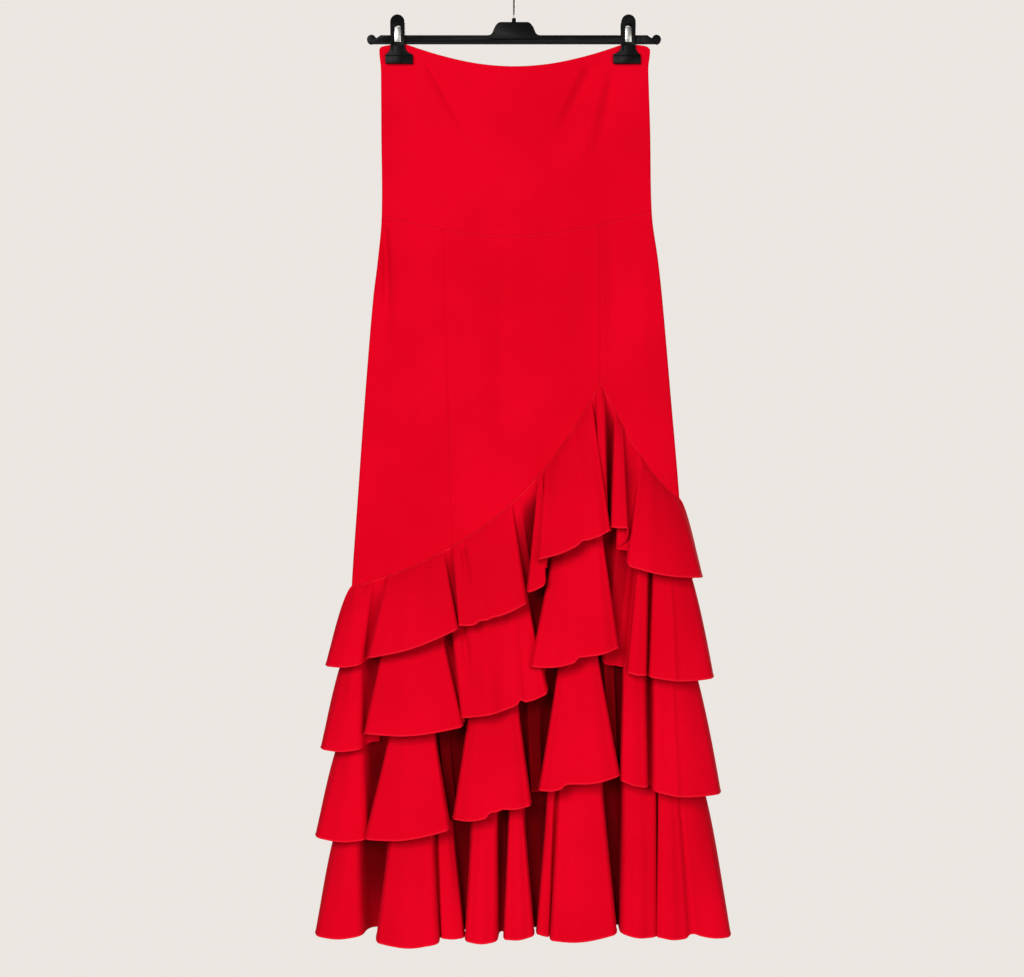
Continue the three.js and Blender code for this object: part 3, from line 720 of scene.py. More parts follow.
@dataclass
class ClothWall:
    """A piece of cloth: rows of points of its middle surface from top to bottom, and the wall's thickness.

    edge is 1 where a rolled edge has a painted highlight, and -1 where a deep fold's floor has painted
    shade.
    """

    name: str
    x: Array
    y: Array
    z: Array
    thick: Array
    edge: Array

    SHARP = 62  # degrees between two faces whose edge isn't smoothed

    def points(self) -> Array:
        """The middle surface's points."""
        return np.stack([self.x, self.y, self.z], axis=-1)

    def normals(self) -> Array:
        """The middle surface's unit normals.

        Returns:
            A normal for each point.
        """
        points = self.points()
        wide = np.concatenate([points[:, :1], points, points[:, -1:]], axis=1)
        high = np.concatenate([points[:1], points, points[-1:]], axis=0)
        normal = np.cross(wide[:, 2:] - wide[:, :-2], high[2:] - high[:-2])
        return normal / np.maximum(np.linalg.norm(normal, axis=-1, keepdims=True), 1e-9)

    def area(self) -> float:
        """The middle surface's area in square metres.

        Returns:
            The area.
        """
        p = self.points() * MM
        first = np.cross(p[1:, :-1] - p[:-1, :-1], p[:-1, 1:] - p[:-1, :-1])
        second = np.cross(p[1:, 1:] - p[1:, :-1], p[:-1, 1:] - p[1:, :-1])
        return float(0.5 * (np.linalg.norm(first, axis=-1).sum() + np.linalg.norm(second, axis=-1).sum()))

    def cut(self) -> tuple[float, float]:
        """The width and length of the cloth laid flat, in metres, measured along its folds.

        Returns:
            The width and the length.
        """
        p = self.points() * MM
        across = np.linalg.norm(np.diff(p, axis=1), axis=-1).sum(axis=1)
        down = np.linalg.norm(np.diff(p, axis=0), axis=-1).sum(axis=0)
        return float(across.max()), float(down.max())

    @staticmethod
    def _inward(corners: Array) -> bool:
        """Whether the faces of a closed wall, of four corners each, look inwards."""
        first, second, third, fourth = (corners[:, i] for i in range(4))
        return float((first * (np.cross(second, third) + np.cross(third, fourth))).sum()) < 0

    def build(self, finish: bpy.types.Material) -> bpy.types.Object:
        """Makes the closed wall as a smooth mesh, with edge as its attribute.

        Args:
            finish: The cloth's material.

        Returns:
            The new object.
        """
        rows, columns = self.x.shape
        offset = self.normals() * (self.thick / 2)[..., None]
        layers = np.stack([self.points() + offset, self.points() - offset])
        ids = np.arange(2 * rows * columns).reshape(2, rows, columns)
        a, b = ids
        quads = [
            np.stack([a[:-1, :-1], a[1:, :-1], a[1:, 1:], a[:-1, 1:]], -1).reshape(-1, 4),
            np.stack([b[:-1, :-1], b[:-1, 1:], b[1:, 1:], b[1:, :-1]], -1).reshape(-1, 4),
            np.stack([a[0, :-1], a[0, 1:], b[0, 1:], b[0, :-1]], -1),
            np.stack([a[-1, :-1], b[-1, :-1], b[-1, 1:], a[-1, 1:]], -1),
            np.stack([a[:-1, 0], b[:-1, 0], b[1:, 0], a[1:, 0]], -1),
            np.stack([a[:-1, -1], a[1:, -1], b[1:, -1], b[:-1, -1]], -1),
        ]
        faces = np.concatenate(quads)
        points = layers.reshape(-1, 3) * MM
        if self._inward(points[faces]):
            faces = faces[:, ::-1]
        mesh = bpy.data.meshes.new(self.name)
        mesh.from_pydata(points.tolist(), [], faces.tolist())
        smooth(mesh, self.SHARP)
        shade = mesh.attributes.new("edge", "FLOAT", "POINT")
        shade.data.foreach_set("value", np.tile(self.edge.reshape(-1), 2).astype(np.float32))
        mesh.materials.append(finish)
        return add(self.name, mesh)

    def dress(self, finish: bpy.types.Material, hangs_from: Sequence[str]) -> None:
        """Builds the piece, hides the solid that it stands for, attaches it to the root body and logs its
        cut.

        Args:
            finish: The cloth's material.
            hangs_from: The pieces or nodes that it hangs from; not used.
        """
        made = self.build(finish)
        made.name = self.name + "_cloth"
        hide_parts(self.name)
        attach(made, "root")
        width, length = self.cut()
        area = min(self.area(), width * length)
        faces = len(made.data.polygons)
        log.info("%s: %d faces, cut %.3f x %.3f m, %.4f m2", made.name, faces, width, length, area)


class Border(Enum):
    """How a flat piece's border is finished."""

    SEAM = "sewn to its neighbour, with the turnings inside"
    SIDE = "a side seam"
    TURNED = "turned in"
    HIDDEN = "left plain under a flounce"


@dataclass
class FlatPiece:
    """A piece of the tube between two seams: part of the yoke, a panel or the cloth under the flounces."""

    name: str
    side: Side
    tube: Tube
    top: Curve
    foot: Curve
    left: Curve
    right: Curve
    borders: tuple[Border, Border, Border, Border]  # top, foot, left, right
    pale: tuple[float, float, float, float] = (0.5, 0.35, 0.0, 0.0)  # painted highlight at each seam's edge
    creases: tuple[Crease, ...] = ()
    side_inset: float = 0.0
    depth_inset: float = 0.0
    columns: int = 110
    rows: int = 70

    HEAD = (0.0, 0.3, 0.7, 1.3, 2.2, 3.6, 6.0)  # rows and columns by their distance from a border
    GROOVE = {"depth": 0.75, "width": 1.15, "pale": 0.9}  # along a seam; pale is the width of its painted highlight
    ROUNDING = {"back": 0.45, "thin": 0.55, "width": 0.8}  # of a side
    TURNING = {"thick": 1.5, "height": 14.0, "step": 2.0, "edge": 0.5, "round": 0.45}
    CREASE_MARGIN = 9.0  # creases fade over this distance from the top and the foot
    TRIES, PACE = 24, 0.6  # for the height where a column meets a seam

    def _solve(self, seam: Curve, offsets: Array, share: Array) -> Array:
        """The height where each column meets a seam.

        Args:
            seam: The seam's heights over x.
            offsets: Each column's distance from the left border.
            share: Its share of the width.

        Returns:
            The heights.
        """
        z = np.full(offsets.shape, float(np.asarray(seam(np.array(0.0)))))
        for _ in range(self.TRIES):
            z = lerp(z, seam(self._x(z, offsets, share)), self.PACE)
        return z

    def _x(self, z: Array, offsets: Array, share: Array) -> Array:
        """A column's x at a height: so far from the left border, and a share of the width."""
        left, right = self.left(z), self.right(z)
        return left + offsets + (right - left) * share

    def surface(self) -> ClothWall:
        """Works out the piece's middle surface.

        Returns:
            The wall.
        """
        head = np.array(self.HEAD)
        even = (1 - np.cos(math.pi * np.linspace(0, 1, self.columns + 2)[1:-1])) / 2
        share = np.concatenate([np.zeros_like(head), even, np.ones_like(head)])
        offsets = np.concatenate([head, head[-1] * (1 - 2 * even), -head[::-1]])
        gap = SEAM_GAP / 2
        top_z = self._solve(self.top, offsets, share) - gap
        foot_z = self._solve(self.foot, offsets, share) + gap
        fall = stations(top_z - foot_z, self.HEAD, self.HEAD[::-1], self.rows)
        z = top_z - fall
        x = self._x(z, offsets, share)
        across = self.tube.across(x, z, self.side_inset)
        stand = self.tube.depth(z) - self.depth_inset
        swell = stand * self.tube.swell(across) * (1 - self.tube.pinch(x, z))
        rest = top_z - foot_z - fall
        distances = (fall, rest / slant(self.foot, x), x - self.left(z), self.right(z) - x)
        out = swell + WALL_MID
        thick = np.full_like(x, CLOTH)
        edge = np.zeros_like(x)
        inside = ease(np.minimum(fall, rest), 0, self.CREASE_MARGIN)
        for crease in self.creases:
            out = out + crease.lift(x, z) * inside
        for border, away, pale in zip(self.borders, distances, self.pale):
            if border is Border.SEAM:
                out = out - self.GROOVE["depth"] * bell(away, self.GROOVE["width"])
                # Painted highlight along the seam; a negative pale paints shade there instead.
                edge = edge + pale * bell(away, self.GROOVE["pale"])
            elif border is Border.SIDE:
                rounding = bell(away, self.ROUNDING["width"])
                out = out - self.ROUNDING["back"] * rounding
                thick = thick - self.ROUNDING["thin"] * rounding
            elif border is Border.TURNED:
                thick = self._turned(away)
        return ClothWall(self.name, x, self.side.value * out, z, thick, edge)

    def _turned(self, away: Array) -> Array:
        """The wall's thickness at distances from a border that is turned in.

        Args:
            away: The distances.

        Returns:
            The thicknesses.
        """
        turning = self.TURNING
        end = turning["height"]
        double = lerp(turning["thick"], CLOTH, ease(away, end - turning["step"], end + turning["step"]))
        return double - (double - turning["edge"]) * bell(away, turning["round"])


# ---- Flounces ------------------------------------------------------------------------------------


@dataclass(frozen=True)
class Flute:
    """A flute of a flounce, and the fold that follows it.

    It leaves the seam between top_left and top_right, and its two edges are at hem_left and hem_right, at
    heights z_left and z_right. reach is how far it stands out. The fold's floor lies between floor_left and
    floor_right at the hem, at height floor_z, and back is its reach: a floor that lies behind a flute's edge
    tucks the cloth in under it, and one beyond the edge lets it fall away softly.
    """

    top_left: float
    top_right: float
    hem_left: float
    hem_right: float
    z_left: float
    z_right: float
    reach: float
    floor_left: float = 0.0
    floor_right: float = 0.0
    floor_z: float = 0.0
    back: float = 0.0

    def edge(self, way: int) -> tuple[float, float, float]:
        """The flute's right or left edge.

        Args:
            way: 1 for the right edge, -1 for the left one.

        Returns:
            Its x at the seam, its x at the hem, and its height at the hem.
        """
        if way > 0:
            return self.top_right, self.hem_right, self.z_right
        return self.top_left, self.hem_left, self.z_left


@dataclass(frozen=True)
class Ridge:
    """A soft ridge down a flute, or a groove where its height is negative, from the seam to the hem.

    top and hem are its x at the seam and at the hem. fade is where it dies out on its way down, as a share
    of the fall, or 0 where it runs on to the hem.
    """

    top: float
    hem: float
    width: float
    height: float
    fade: float = 0.0

    NARROW = 0.4  # the width at the seam, as a share of that at the hem
    SOON = {"share": 0.3, "fall": 5}  # the part of the height that it has just under the seam
    GROWTH = 0.7  # power of the fall by which the rest of it grows
    FADING = {"start": (1, 12), "from": 0.15}  # for one that dies out

    def lift(self, x: Array, v: Array, down: Array) -> Array:
        """How far the ridge raises the cloth.

        Args:
            x: Across the skirt.
            v: How far down the flounce, as a share of its fall.
            down: The same in millimetres.

        Returns:
            The lift outwards.
        """
        centre = lerp(self.top, self.hem, v)
        width = self.width * lerp(self.NARROW, 1.0, v)
        soon = 1 - np.exp(-down / self.SOON["fall"])
        share = lerp(v**self.GROWTH, soon, self.SOON["share"])
        if self.fade:
            share = ease(down, *self.FADING["start"]) * (1 - ease(v, self.FADING["from"], self.fade))
        return self.height * share * bell(x - centre, width)


def flutes(*rows: tuple[float, ...]) -> tuple[Flute, ...]:
    """A tier's flutes from the rows of its table."""
    return tuple(Flute(*row) for row in rows)


def ridges(*rows: tuple[float, ...]) -> tuple[Ridge, ...]:
    """A tier's ridges from the rows of its table."""
    return tuple(Ridge(*row) for row in rows)


FRONT_FLUTES = (
    flutes(
        (-181, -163, -215.5, -173, -790.5, -788, 36, -162, -153, -781, 15),
        (-144, -81, -165.5, -63, -780, -746.5, 46, -66, -58, -744, 27),
        (-69.5, -52, -62, -42, -742.5, -741, 45, -38, -32, -737, 43),
        (-44, -2.5, -26, 14.5, -734, -717.5, 46, 8.5, 8, -706, 14),
        (-1, 5, 9.5, 22, -704, -697, 18, 21, 31, -690, 11),
        (28.5, 32.5, 15, 35, -706, -697, 42, 33, 40, -678, 33),
        (35.5, 66, 27, 73, -668, -652, 48, 78, 83, -647, 45),
        (74, 88.5, 88, 108.5, -645, -635.5, 47, 98, 97.5, -637, 18),
        (94, 103, 98, 106, -636, -636, 36, 106.5, 110, -640, 10),
        (116, 124, 109.5, 128.5, -632, -633, 44, 111, 130, -658, 29),
        (147, 184, 127.5, 215.5, -675.5, -689.5, 46),
    ),
    flutes(
        (-183, -174, -221, -173, -885, -884, 36, -161, -150, -877, 10),
        (-147, -86.5, -170, -57.5, -865, -856, 46, -61, -54, -852, 27),
        (-72, -4.5, -59, 5, -846, -831, 46, 6.5, 9.5, -826, 41.5),
        (1, 8, 11, 37.5, -829, -819.5, 38, 31, 38, -803, 14),
        (44.5, 74, 18, 69, -788.5, -784, 48, 73, 78, -778, 45),
        (82, 95.5, 84, 118, -777, -767.5, 47, 100, 99.5, -772, 12),
        (122, 130, 101, 116, -787, -789, 20, 122, 131, -791, 18),
        (143.5, 152, 127, 149, -796, -799.5, 44, 151, 157, -800, 25),
        (160, 194, 152.5, 228, -801, -803.5, 46),
    ),
    flutes(
        (-187, -174, -227, -167, -985, -986, 38, -157, -150, -979, 7),
        (-137, -94.5, -168.5, -72, -984, -971.5, 48, -76, -68, -964, 8),
        (-88, -78.5, -77, -64, -966, -962, 14, -66, -58, -958, 8),
        (-48, -28, -68.5, -31, -959.5, -958, 48, -26, -20, -951, 45),
        (-22, 0, -14, 19, -947.5, -944, 47, 15, 17, -934, 12),
        (14, 27, 19, 32, -931, -930.5, 22, 33, 36, -928, 12),
        (53.5, 66, 28, 54, -927, -925, 48, 58, 62, -920, 46),
        (72, 90, 66, 119, -919.5, -911, 50, 105.5, 105, -913, 12),
        (101.5, 112, 107, 118, -914, -915.5, 20, 117.5, 124, -915, 12),
        (125.5, 147, 120, 150.5, -917, -925, 46, 151, 156, -924, 26),
        (160, 200, 156.5, 236, -929.5, -934.5, 48),
    ),
    flutes(
        (-193, -179, -227, -172, -1096.5, -1094, 42, -160, -151, -1089, 4),
        (-137, -94.5, -155.5, -84.5, -1099, -1099, 52, -84, -79, -1095, 24),
        (-86.5, -73, -82, -56, -1095, -1094.5, 34, -58, -53, -1090, 4),
        (-45.5, -20.5, -55, -19, -1096, -1096, 48, -16, -11, -1089, 17),
        (-3.5, 7, -11.5, 22.5, -1094, -1090, 46, 20, 27, -1087, 4),
        (40, 45.5, 25.5, 39.5, -1090, -1093, 34, 40.5, 43, -1091, 24),
        (52.5, 95.5, 40.5, 115.5, -1094, -1088, 52, 113, 119, -1085, 4),
        (125.5, 160.5, 119.5, 160, -1088.5, -1093, 46, 161.5, 164, -1092, 27),
        (165, 184, 160.5, 195, -1093, -1096, 46, 199, 204, -1092, 39),
        (191, 205, 208, 247.5, -1094, -1097.5, 42),
    ),
)

FRONT_RIDGES = (
    ridges(
        (-181, -190, 10, 1.9),
        (-122, -120, 10, 1.9),
        (-104, -106, 8, -1.3, 0.9),
        (-92, -84, 10, 1.3),
        (-59, -46, 6.5, -6.5, 0.75),
        (-30, -22, 9, 1.6),
        (-18, -4, 8, -1.1),
        (50, 48, 10, 1.4),
        (69, 80, 8, -2.4),
        (79, 97, 6, 1.6),
        (158, 150, 9, 1.6),
    ),
    ridges(
        (-178, -196, 11, 1.6),
        (-122, -128, 11, 1.6),
        (-98, -96, 10, -1.1),
        (-60, -45, 6.5, -7.0, 0.85),
        (-34, -28, 10, 2.9),
        (-12, -10, 9, -2.6),
        (58, 44, 9, 1.4),
        (90, 102, 7, 1.4),
        (177, 181, 4, 2.6),
    ),
    ridges(
        (-176, -198, 12, 1.6),
        (-122, -128, 10, 1.9),
        (-106, -104, 9, -1.3),
        (-38, -50, 9, 1.4),
        (-8, 4, 7, 1.3),
        (62, 44, 9, 1.4),
        (82, 96, 12, 1.3),
        (179, 183, 4, 2.6),
    ),
    ridges(
        (-180, -202, 12, 1.6),
        (-118, -122, 12, 1.6),
        (-100, -98, 9, -1.1),
        (-36, -38, 9, 1.4),
        (2, 6, 7, 1.6),
        (68, 62, 12, 1.4),
        (86, 94, 12, -1.0),
        (142, 138, 9, 1.6),
        (177, 178, 7, 1.3),
    ),
)

# The back hangs in plainer flutes: each one's share of the width and its reach.
BACK_FLUTES = (
    (0.9, 34),
    (1.2, 40),
    (0.8, 36),
    (1.15, 42),
    (1.0, 38),
    (1.25, 41),
    (0.85, 36),
    (1.0, 34),
)


@dataclass(frozen=True)
class Corner:
    """A corner that steers a flounce's section.

    top and hem are its x at the seam and at the hem, where its height is z and it stands out by reach. pace
    is the power of the fall by which it stands out. tuck is how far it slips under a flute's edge. side is 1
    where it closes a side, and face is how much it belongs to a flute's face.
    """

    top: float
    hem: float
    z: float
    reach: float
    pace: float
    tuck: float = 0.0
    side: float = 0.0
    face: float = 0.0


@dataclass
class Section:
    """A flounce's section from left to right, and how the flounce's columns are spread over its corners."""

    STEPS = 24  # to a corner
    BLUR = 0.8  # of the weights, in columns
    SEAM_SHARE = 0.5  # how much a distance at the seam counts beside one at the hem
    LEAST = 0.01  # distance between two steps

    corners: list[Corner]

    def column(self, name: str) -> Array:
        """One value of every corner."""
        return np.array([getattr(corner, name) for corner in self.corners], float)

    def weights(self, columns: int) -> Array:
        """How much each corner counts in each of the flounce's columns.

        The section is a rounded line that touches the middle of each side between two corners. Columns are
        evenly spaced along the cloth.

        Args:
            columns: How many columns the flounce has.

        Returns:
            An array with a row for each column and a column for each corner.
        """
        count = len(self.corners)
        t = np.linspace(0, 1, self.STEPS, endpoint=False)
        dense = np.zeros((count * self.STEPS + 1, count))
        for i in range(count):
            part = dense[i * self.STEPS : (i + 1) * self.STEPS]
            if i == 0:
                part[:, 0], part[:, 1] = 1 - t / 2, t / 2
            elif i == count - 1:
                part[:, i - 1], part[:, i] = (1 - t) / 2, (1 + t) / 2
            else:
                before, after = (1 - t) ** 2 / 2, t**2 / 2
                part[:, i - 1], part[:, i], part[:, i + 1] = before, 1 - before - after, after
        dense[-1, -1] = 1
        hem = dense @ np.stack([self.column("hem"), self.column("z"), self.column("reach")], -1)
        seam = dense @ self.column("top")
        length = np.linalg.norm(np.diff(hem, axis=0), axis=1) + self.SEAM_SHARE * np.abs(np.diff(seam))
        length = length + self.LEAST
        run = np.concatenate([[0.0], np.cumsum(length)])
        even = np.linspace(0, run[-1], columns)
        spread = np.stack([np.interp(even, run, dense[:, k]) for k in range(count)], -1)
        return np.stack([softened(spread[:, k], self.BLUR) for k in range(count)], -1)


@dataclass
class Cover:
    """The room under a flounce: how far out the next one may come at any place."""

    CELL = 1.5  # side of a cell of the map
    WEST, NORTH = -264.0, -470.0  # x and height of the map's first cell
    SHAPE = (432, 352)
    CLEAR = 1.3  # from the inside of a flounce to the middle of the next one's cloth
    FLARE = 1.5  # how fast the room opens out below a hem
    FREE = 200.0  # no limit
    LAST = 1.001  # how many cells from the map's far edges the last place lies
    FINER = (12, 3)  # how many times finer the wall is sampled, between rows and between columns
    BLURS = 3  # of a row of the map on its way down

    room: Array

    @classmethod
    def under(cls, wall: ClothWall, side: Side) -> Cover:
        """Maps the inside of a flounce, and the room that opens out below its hem.

        Args:
            wall: The flounce.
            side: Its side of the skirt.

        Returns:
            The cover.
        """
        places = [wall.x, wall.z, side.value * wall.y - wall.thick / 2]
        for steps in cls.FINER:
            share = np.arange(steps)[None, :, None] / steps
            places = [lerp(p[:-1, None], p[1:, None], share).reshape(-1, p.shape[1]).T for p in places]
        x, z, out = places
        column = np.rint((x - cls.WEST) / cls.CELL).astype(int)
        row = np.rint((cls.NORTH - z) / cls.CELL).astype(int)
        room = np.full(cls.SHAPE, np.inf)
        np.minimum.at(room, (row, column), out)
        for i in range(1, len(room)):
            above = np.minimum(room[i - 1], cls.FREE)
            for _ in range(cls.BLURS):
                above = (np.roll(above, 1) + 2 * above + np.roll(above, -1)) / 4
            room[i] = np.where(np.isinf(room[i]), above + cls.FLARE * cls.CELL, room[i])
        room = np.minimum(room, cls.FREE)
        room = np.minimum(room, np.minimum(np.roll(room, 1, 1), np.roll(room, -1, 1)))
        return cls(np.stack([softened(line, 1.0) for line in room]))

    def limit(self, x: Array, z: Array) -> Array:
        """How far out the middle of the cloth may come.

        Args:
            x: Places across the skirt.
            z: Their heights.

        Returns:
            Distances from the skirt's middle plane.
        """
        column = np.clip((x - self.WEST) / self.CELL, 0, self.SHAPE[1] - self.LAST)
        row = np.clip((self.NORTH - z) / self.CELL, 0, self.SHAPE[0] - self.LAST)
        i, j = row.astype(int), column.astype(int)
        upper = lerp(self.room[i, j], self.room[i, j + 1], column - j)
        lower = lerp(self.room[i + 1, j], self.room[i + 1, j + 1], column - j)
        return lerp(upper, lower, row - i) - self.CLEAR


@dataclass
class Flounce:
    """One flounce on one side: circular-cut cloth that falls from its seam in flutes to a rolled hem."""

    tier: int
    side: Side
    tube: Tube
    seams: Seams
    cover: Cover | None = None

    COLUMNS = {Side.FRONT: 470, Side.BACK: 380}
    ROWS = 22
    DEPTH_BOW = (0.7, 0.46, 0.46, 0.46)  # power of the fall by which each tier's faces stand out
    SIDE_BOW = 0.7  # by which the sides spread
    TUCK_BOW = 0.3  # by which the folds tuck in
    TUCK_START = 16.0  # how far below the seam they begin to
    SAG = 0.0625  # of the hem under a flute, as a share of its width
    CROWN = (0.95, 1.04, 0.95)  # how far a face's corners stand out, as shares of the flute's reach
    FACING = {"side": 0.2, "edge": 0.25, "shallow": 0.9}  # how much corners off the face belong to it
    FACE = {"even": (0.6, 1.0), "ridged": (0.3, 0.9), "pale": (0.1, 0.6)}  # from where it counts as face
    SHALLOW = 6.0  # a groove less deep than this belongs to the face it lies in
    EVEN = 5.0  # how far the faces are smoothed, in columns
    SHOULDER = {"crisp": 6.5, "share": 0.13, "soft": 0.26}  # from an edge of a flute to its face
    LOW, HIGH = 0.22, 0.78  # where a flute's wall turns, as shares of its height over the fold's floor
    LEAN = 0.3  # how far a soft wall leans towards the fold's floor
    SINK = 0.6  # how far a wall's hem has sunk to the floor's height at its low corner
    BLEND = 2.0  # how softly a flounce meets the one above it
    STEEP = 1.8  # how much later a deep fold's floor comes forward
    HEAD = (0.0, 0.35, 0.8, 1.4, 2.3, 3.8, 6.5, 11.0)  # rows by their distance from the seam
    HEM = (7.0, 4.2, 2.9, 2.35, 2.0, 1.55, 1.05, 0.55, 0.18, 0.0)  # and from the hem
    BEAD = (1.0, 1.0, 1.0, 1.08, 1.3, 1.6, 1.75, 1.6, 1.1, 0.5)  # the rolled hem's thickness in those
    BEAD_HIGHLIGHT = (0.0, 0.0, 0.05, 0.15, 0.3, 0.42, 0.46, 0.46, 0.46, 0.46)  # its painted highlight
    BEAD_IN_FOLD = 0.2  # share of that painted highlight that shows in a fold
    BACK = {"top": 0.72, "hem": 0.97, "tuck": 4.0, "wave": 2, "rise": 4}
    BACK_FOLDS = (15, 15, 15, 8)  # how far the folds' floors stand out, at each tier
    BACK_RIDGES = (((0.3, 0.35, 0.4), 1.6), ((0.68, 0.64, 0.6), 1.0))  # places across a flute, and height
    BACK_RIDGE_WIDTH = 0.12
    # Painted shade in deep folds:
    # The columns in which flutes beside a fold are looked for, and how far behind them a deep one lies.
    FOLD = {"reach": 38, "head": 10.5, "hem": 34.0, "depth": (0.1, 1.0), "fall": (0.3, 0.95)}
    SHADE = ((0.83, 0.83), (0.82, 0.6), (1.0, 0.9), (0.94, 0.6))  # painted shade of a deep fold, at each seam and hem
    PUCKER = {"height": 0.5, "fall": 7.0, "start": 2.5, "waves": (1.9, 2.9, 4.7)}
    SEAM_LINE = {"lift": 0.35, "down": 0.6, "width": 0.7, "pale": 0.6, "fade": 1.2}  # where it is sewn on, with a painted highlight

    @property
    def bow(self) -> float:
        """The power of the fall by which the faces stand out."""
        return self.DEPTH_BOW[self.tier]

    @property
    def name(self) -> str:
        """The flounce's name."""
        return f"flounce_{self.tier + 1}_{self.side.word}"

    def table(self) -> tuple[Flute, ...]:
        """The flounce's flutes from left to right."""
        front = FRONT_FLUTES[self.tier]
        return front if self.side is Side.FRONT else self._back_table(front)

    def _back_table(self, front: tuple[Flute, ...]) -> tuple[Flute, ...]:
        """The back's flutes, ending where the front's side flutes do.

        Args:
            front: The front's flutes.

        Returns:
            The back's, from left to right.
        """
        back = self.BACK
        first, last = front[0], front[-1]
        ends = np.concatenate([[0.0], np.cumsum([share for share, _ in BACK_FLUTES])])
        ends = (ends / ends[-1]).tolist()

        def height(i: int, t: float) -> float:
            """The hem's height at an edge of a flute."""
            wave = back["wave"] * math.sin(5 * i + 2 * t + self.tier)
            return lerp(first.z_left, last.z_right, t) + wave

        def edge(i: int, t: float) -> tuple[float, float, float]:
            """An edge of a flute, drawn in towards the flute's middle unless it is at a side seam.

            Args:
                i: The flute's number.
                t: Where the edge lies, as a share of the width.

            Returns:
                Its x at the seam, its x at the hem, and its height at the hem.
            """
            if t in (0.0, 1.0):
                return first.edge(-1) if t == 0 else last.edge(1)
            middle = (ends[i] + ends[i + 1]) / 2
            top = lerp(first.top_left, last.top_right, lerp(middle, t, back["top"]))
            hem = lerp(first.hem_left, last.hem_right, lerp(middle, t, back["hem"]))
            return top, hem, height(i, t)

        made = []
        for i, (_, reach) in enumerate(BACK_FLUTES):
            tops, hems, heights = zip(edge(i, ends[i]), edge(i, ends[i + 1]))
            fold_x = lerp(first.hem_left, last.hem_right, ends[i + 1])
            fold_z = height(i, ends[i + 1]) + back["rise"]
            floor = (fold_x - back["tuck"], fold_x + back["tuck"], fold_z, self.BACK_FOLDS[self.tier])
            made.append(Flute(*tops, *hems, *heights, reach, *floor))
        return tuple(made)

    def table_of_ridges(self) -> tuple[Ridge, ...]:
        """The ridges down the flounce's flutes.

        Returns:
            The ridges.
        """
        if self.side is Side.FRONT:
            return FRONT_RIDGES[self.tier]
        made = []
        for i, flute in enumerate(self.table()):
            width = flute.hem_right - flute.hem_left
            for (shares, height), turn in zip(self.BACK_RIDGES, (i, i + self.tier)):
                share = shares[turn % len(shares)]
                top = lerp(flute.top_left, flute.top_right, share)
                hem = lerp(flute.hem_left, flute.hem_right, share)
                made.append(Ridge(top, hem, self.BACK_RIDGE_WIDTH * width, height))
        return tuple(made)

    def section(self) -> Section:
        """The corners of the flounce's section from left to right.

        Returns:
            The section.
        """
        table = self.table()
        corners: list[Corner] = []
        for before, flute, after in zip((None, *table[:-1]), table, (*table[1:], None)):
            left_soft = before is not None and before.floor_right < flute.hem_left
            right_soft = after is not None and flute.floor_left > flute.hem_right
            if before is None:
                corners += self._closing(flute, -1)[::-1]
            else:
                corners += self._wall(flute, before, before.top_right, left_soft, -1)[::-1]
            corners += self._face(flute, left_soft, right_soft)
            if after is None:
                corners += self._closing(flute, 1)
            else:
                corners += self._wall(flute, flute, after.top_left, right_soft, 1)
        return Section(corners)

    def _face(self, flute: Flute, left_soft: bool, right_soft: bool) -> list[Corner]:
        """The three corners of a flute's face. Its hem sags between them.

        Args:
            flute: The flute.
            left_soft: Whether the cloth falls away softly on its left.
            right_soft: The same on its right.

        Returns:
            Three corners.
        """
        width = flute.hem_right - flute.hem_left
        shares = (self._shoulder(width, left_soft), 0.5, 1 - self._shoulder(width, right_soft))
        corners = []
        for share, crown in zip(shares, self.CROWN):
            top, hem, z = (lerp(a, b, share) for a, b in zip(flute.edge(-1), flute.edge(1)))
            z -= 4 * share * (1 - share) * self.SAG * width
            corners.append(Corner(top, hem, z, crown * flute.reach, self.bow, face=1))
        return corners

    def _shoulder(self, width: float, soft: bool) -> float:
        """How far from a flute's edge its face begins, as a share of its width.

        Args:
            width: The flute's width at the hem.
            soft: Whether the cloth falls away softly beside it.

        Returns:
            The share.
        """
        if soft:
            return self.SHOULDER["soft"]
        return min(self.SHOULDER["crisp"] / width, self.SHOULDER["share"])

    def _closing(self, flute: Flute, way: int) -> list[Corner]:
        """The two corners from a side flute's edge to the side seam.

        Args:
            flute: The side flute.
            way: 1 at the right side, -1 at the left one.

        Returns:
            Two corners.
        """
        top, hem, z = flute.edge(way)
        seam = self.seams.tiers[self.tier]
        end = self.tube.right(np.array(seam.right)) if way > 0 else self.tube.left(np.array(seam.left))
        edge = Corner(top, hem, z, 0.5 * flute.reach, self.bow, side=1, face=self.FACING["side"])
        return [edge, Corner(float(end), hem, z, 0, self.bow, side=1)]

    def _wall(self, flute: Flute, fold: Flute, far: float, soft: bool, way: int) -> list[Corner]:
        """The corners from a flute's edge down to the floor of the fold beside it.

        Args:
            flute: The flute.
            fold: The flute that the fold follows.
            far: Where the seam meets the flute on the fold's other side.
            soft: Whether the wall falls away softly.
            way: 1 for the flute's right edge, -1 for its left one.

        Returns:
            Three corners.
        """
        top, hem, z = flute.edge(way)
        floor = fold.floor_left if way > 0 else fold.floor_right
        gap = far - top
        rise = flute.reach - fold.back
        slack = min(1.0, max(0.0, 1 - fold.back / flute.reach))
        tuck = 0.0 if soft else floor - hem - gap / 3
        lean = self.LEAN if soft else 0.0
        near = self.FACING["shallow"] if soft and rise < self.SHALLOW else 0.0
        high, low = fold.back + self.HIGH * rise, fold.back + self.LOW * rise
        low_z = lerp(z, fold.floor_z, self.SINK)
        pace = self.bow + self.STEEP * slack**2
        return [
            Corner(top, lerp(hem, floor, lean / 4), z, high, self.bow, face=max(near, self.FACING["edge"])),
            Corner(top + gap / 9, lerp(hem, floor, lean), low_z, low, self.bow, tuck / 4, face=near),
            Corner(top + gap / 3, floor, fold.floor_z, fold.back, pace, tuck, face=near),
        ]

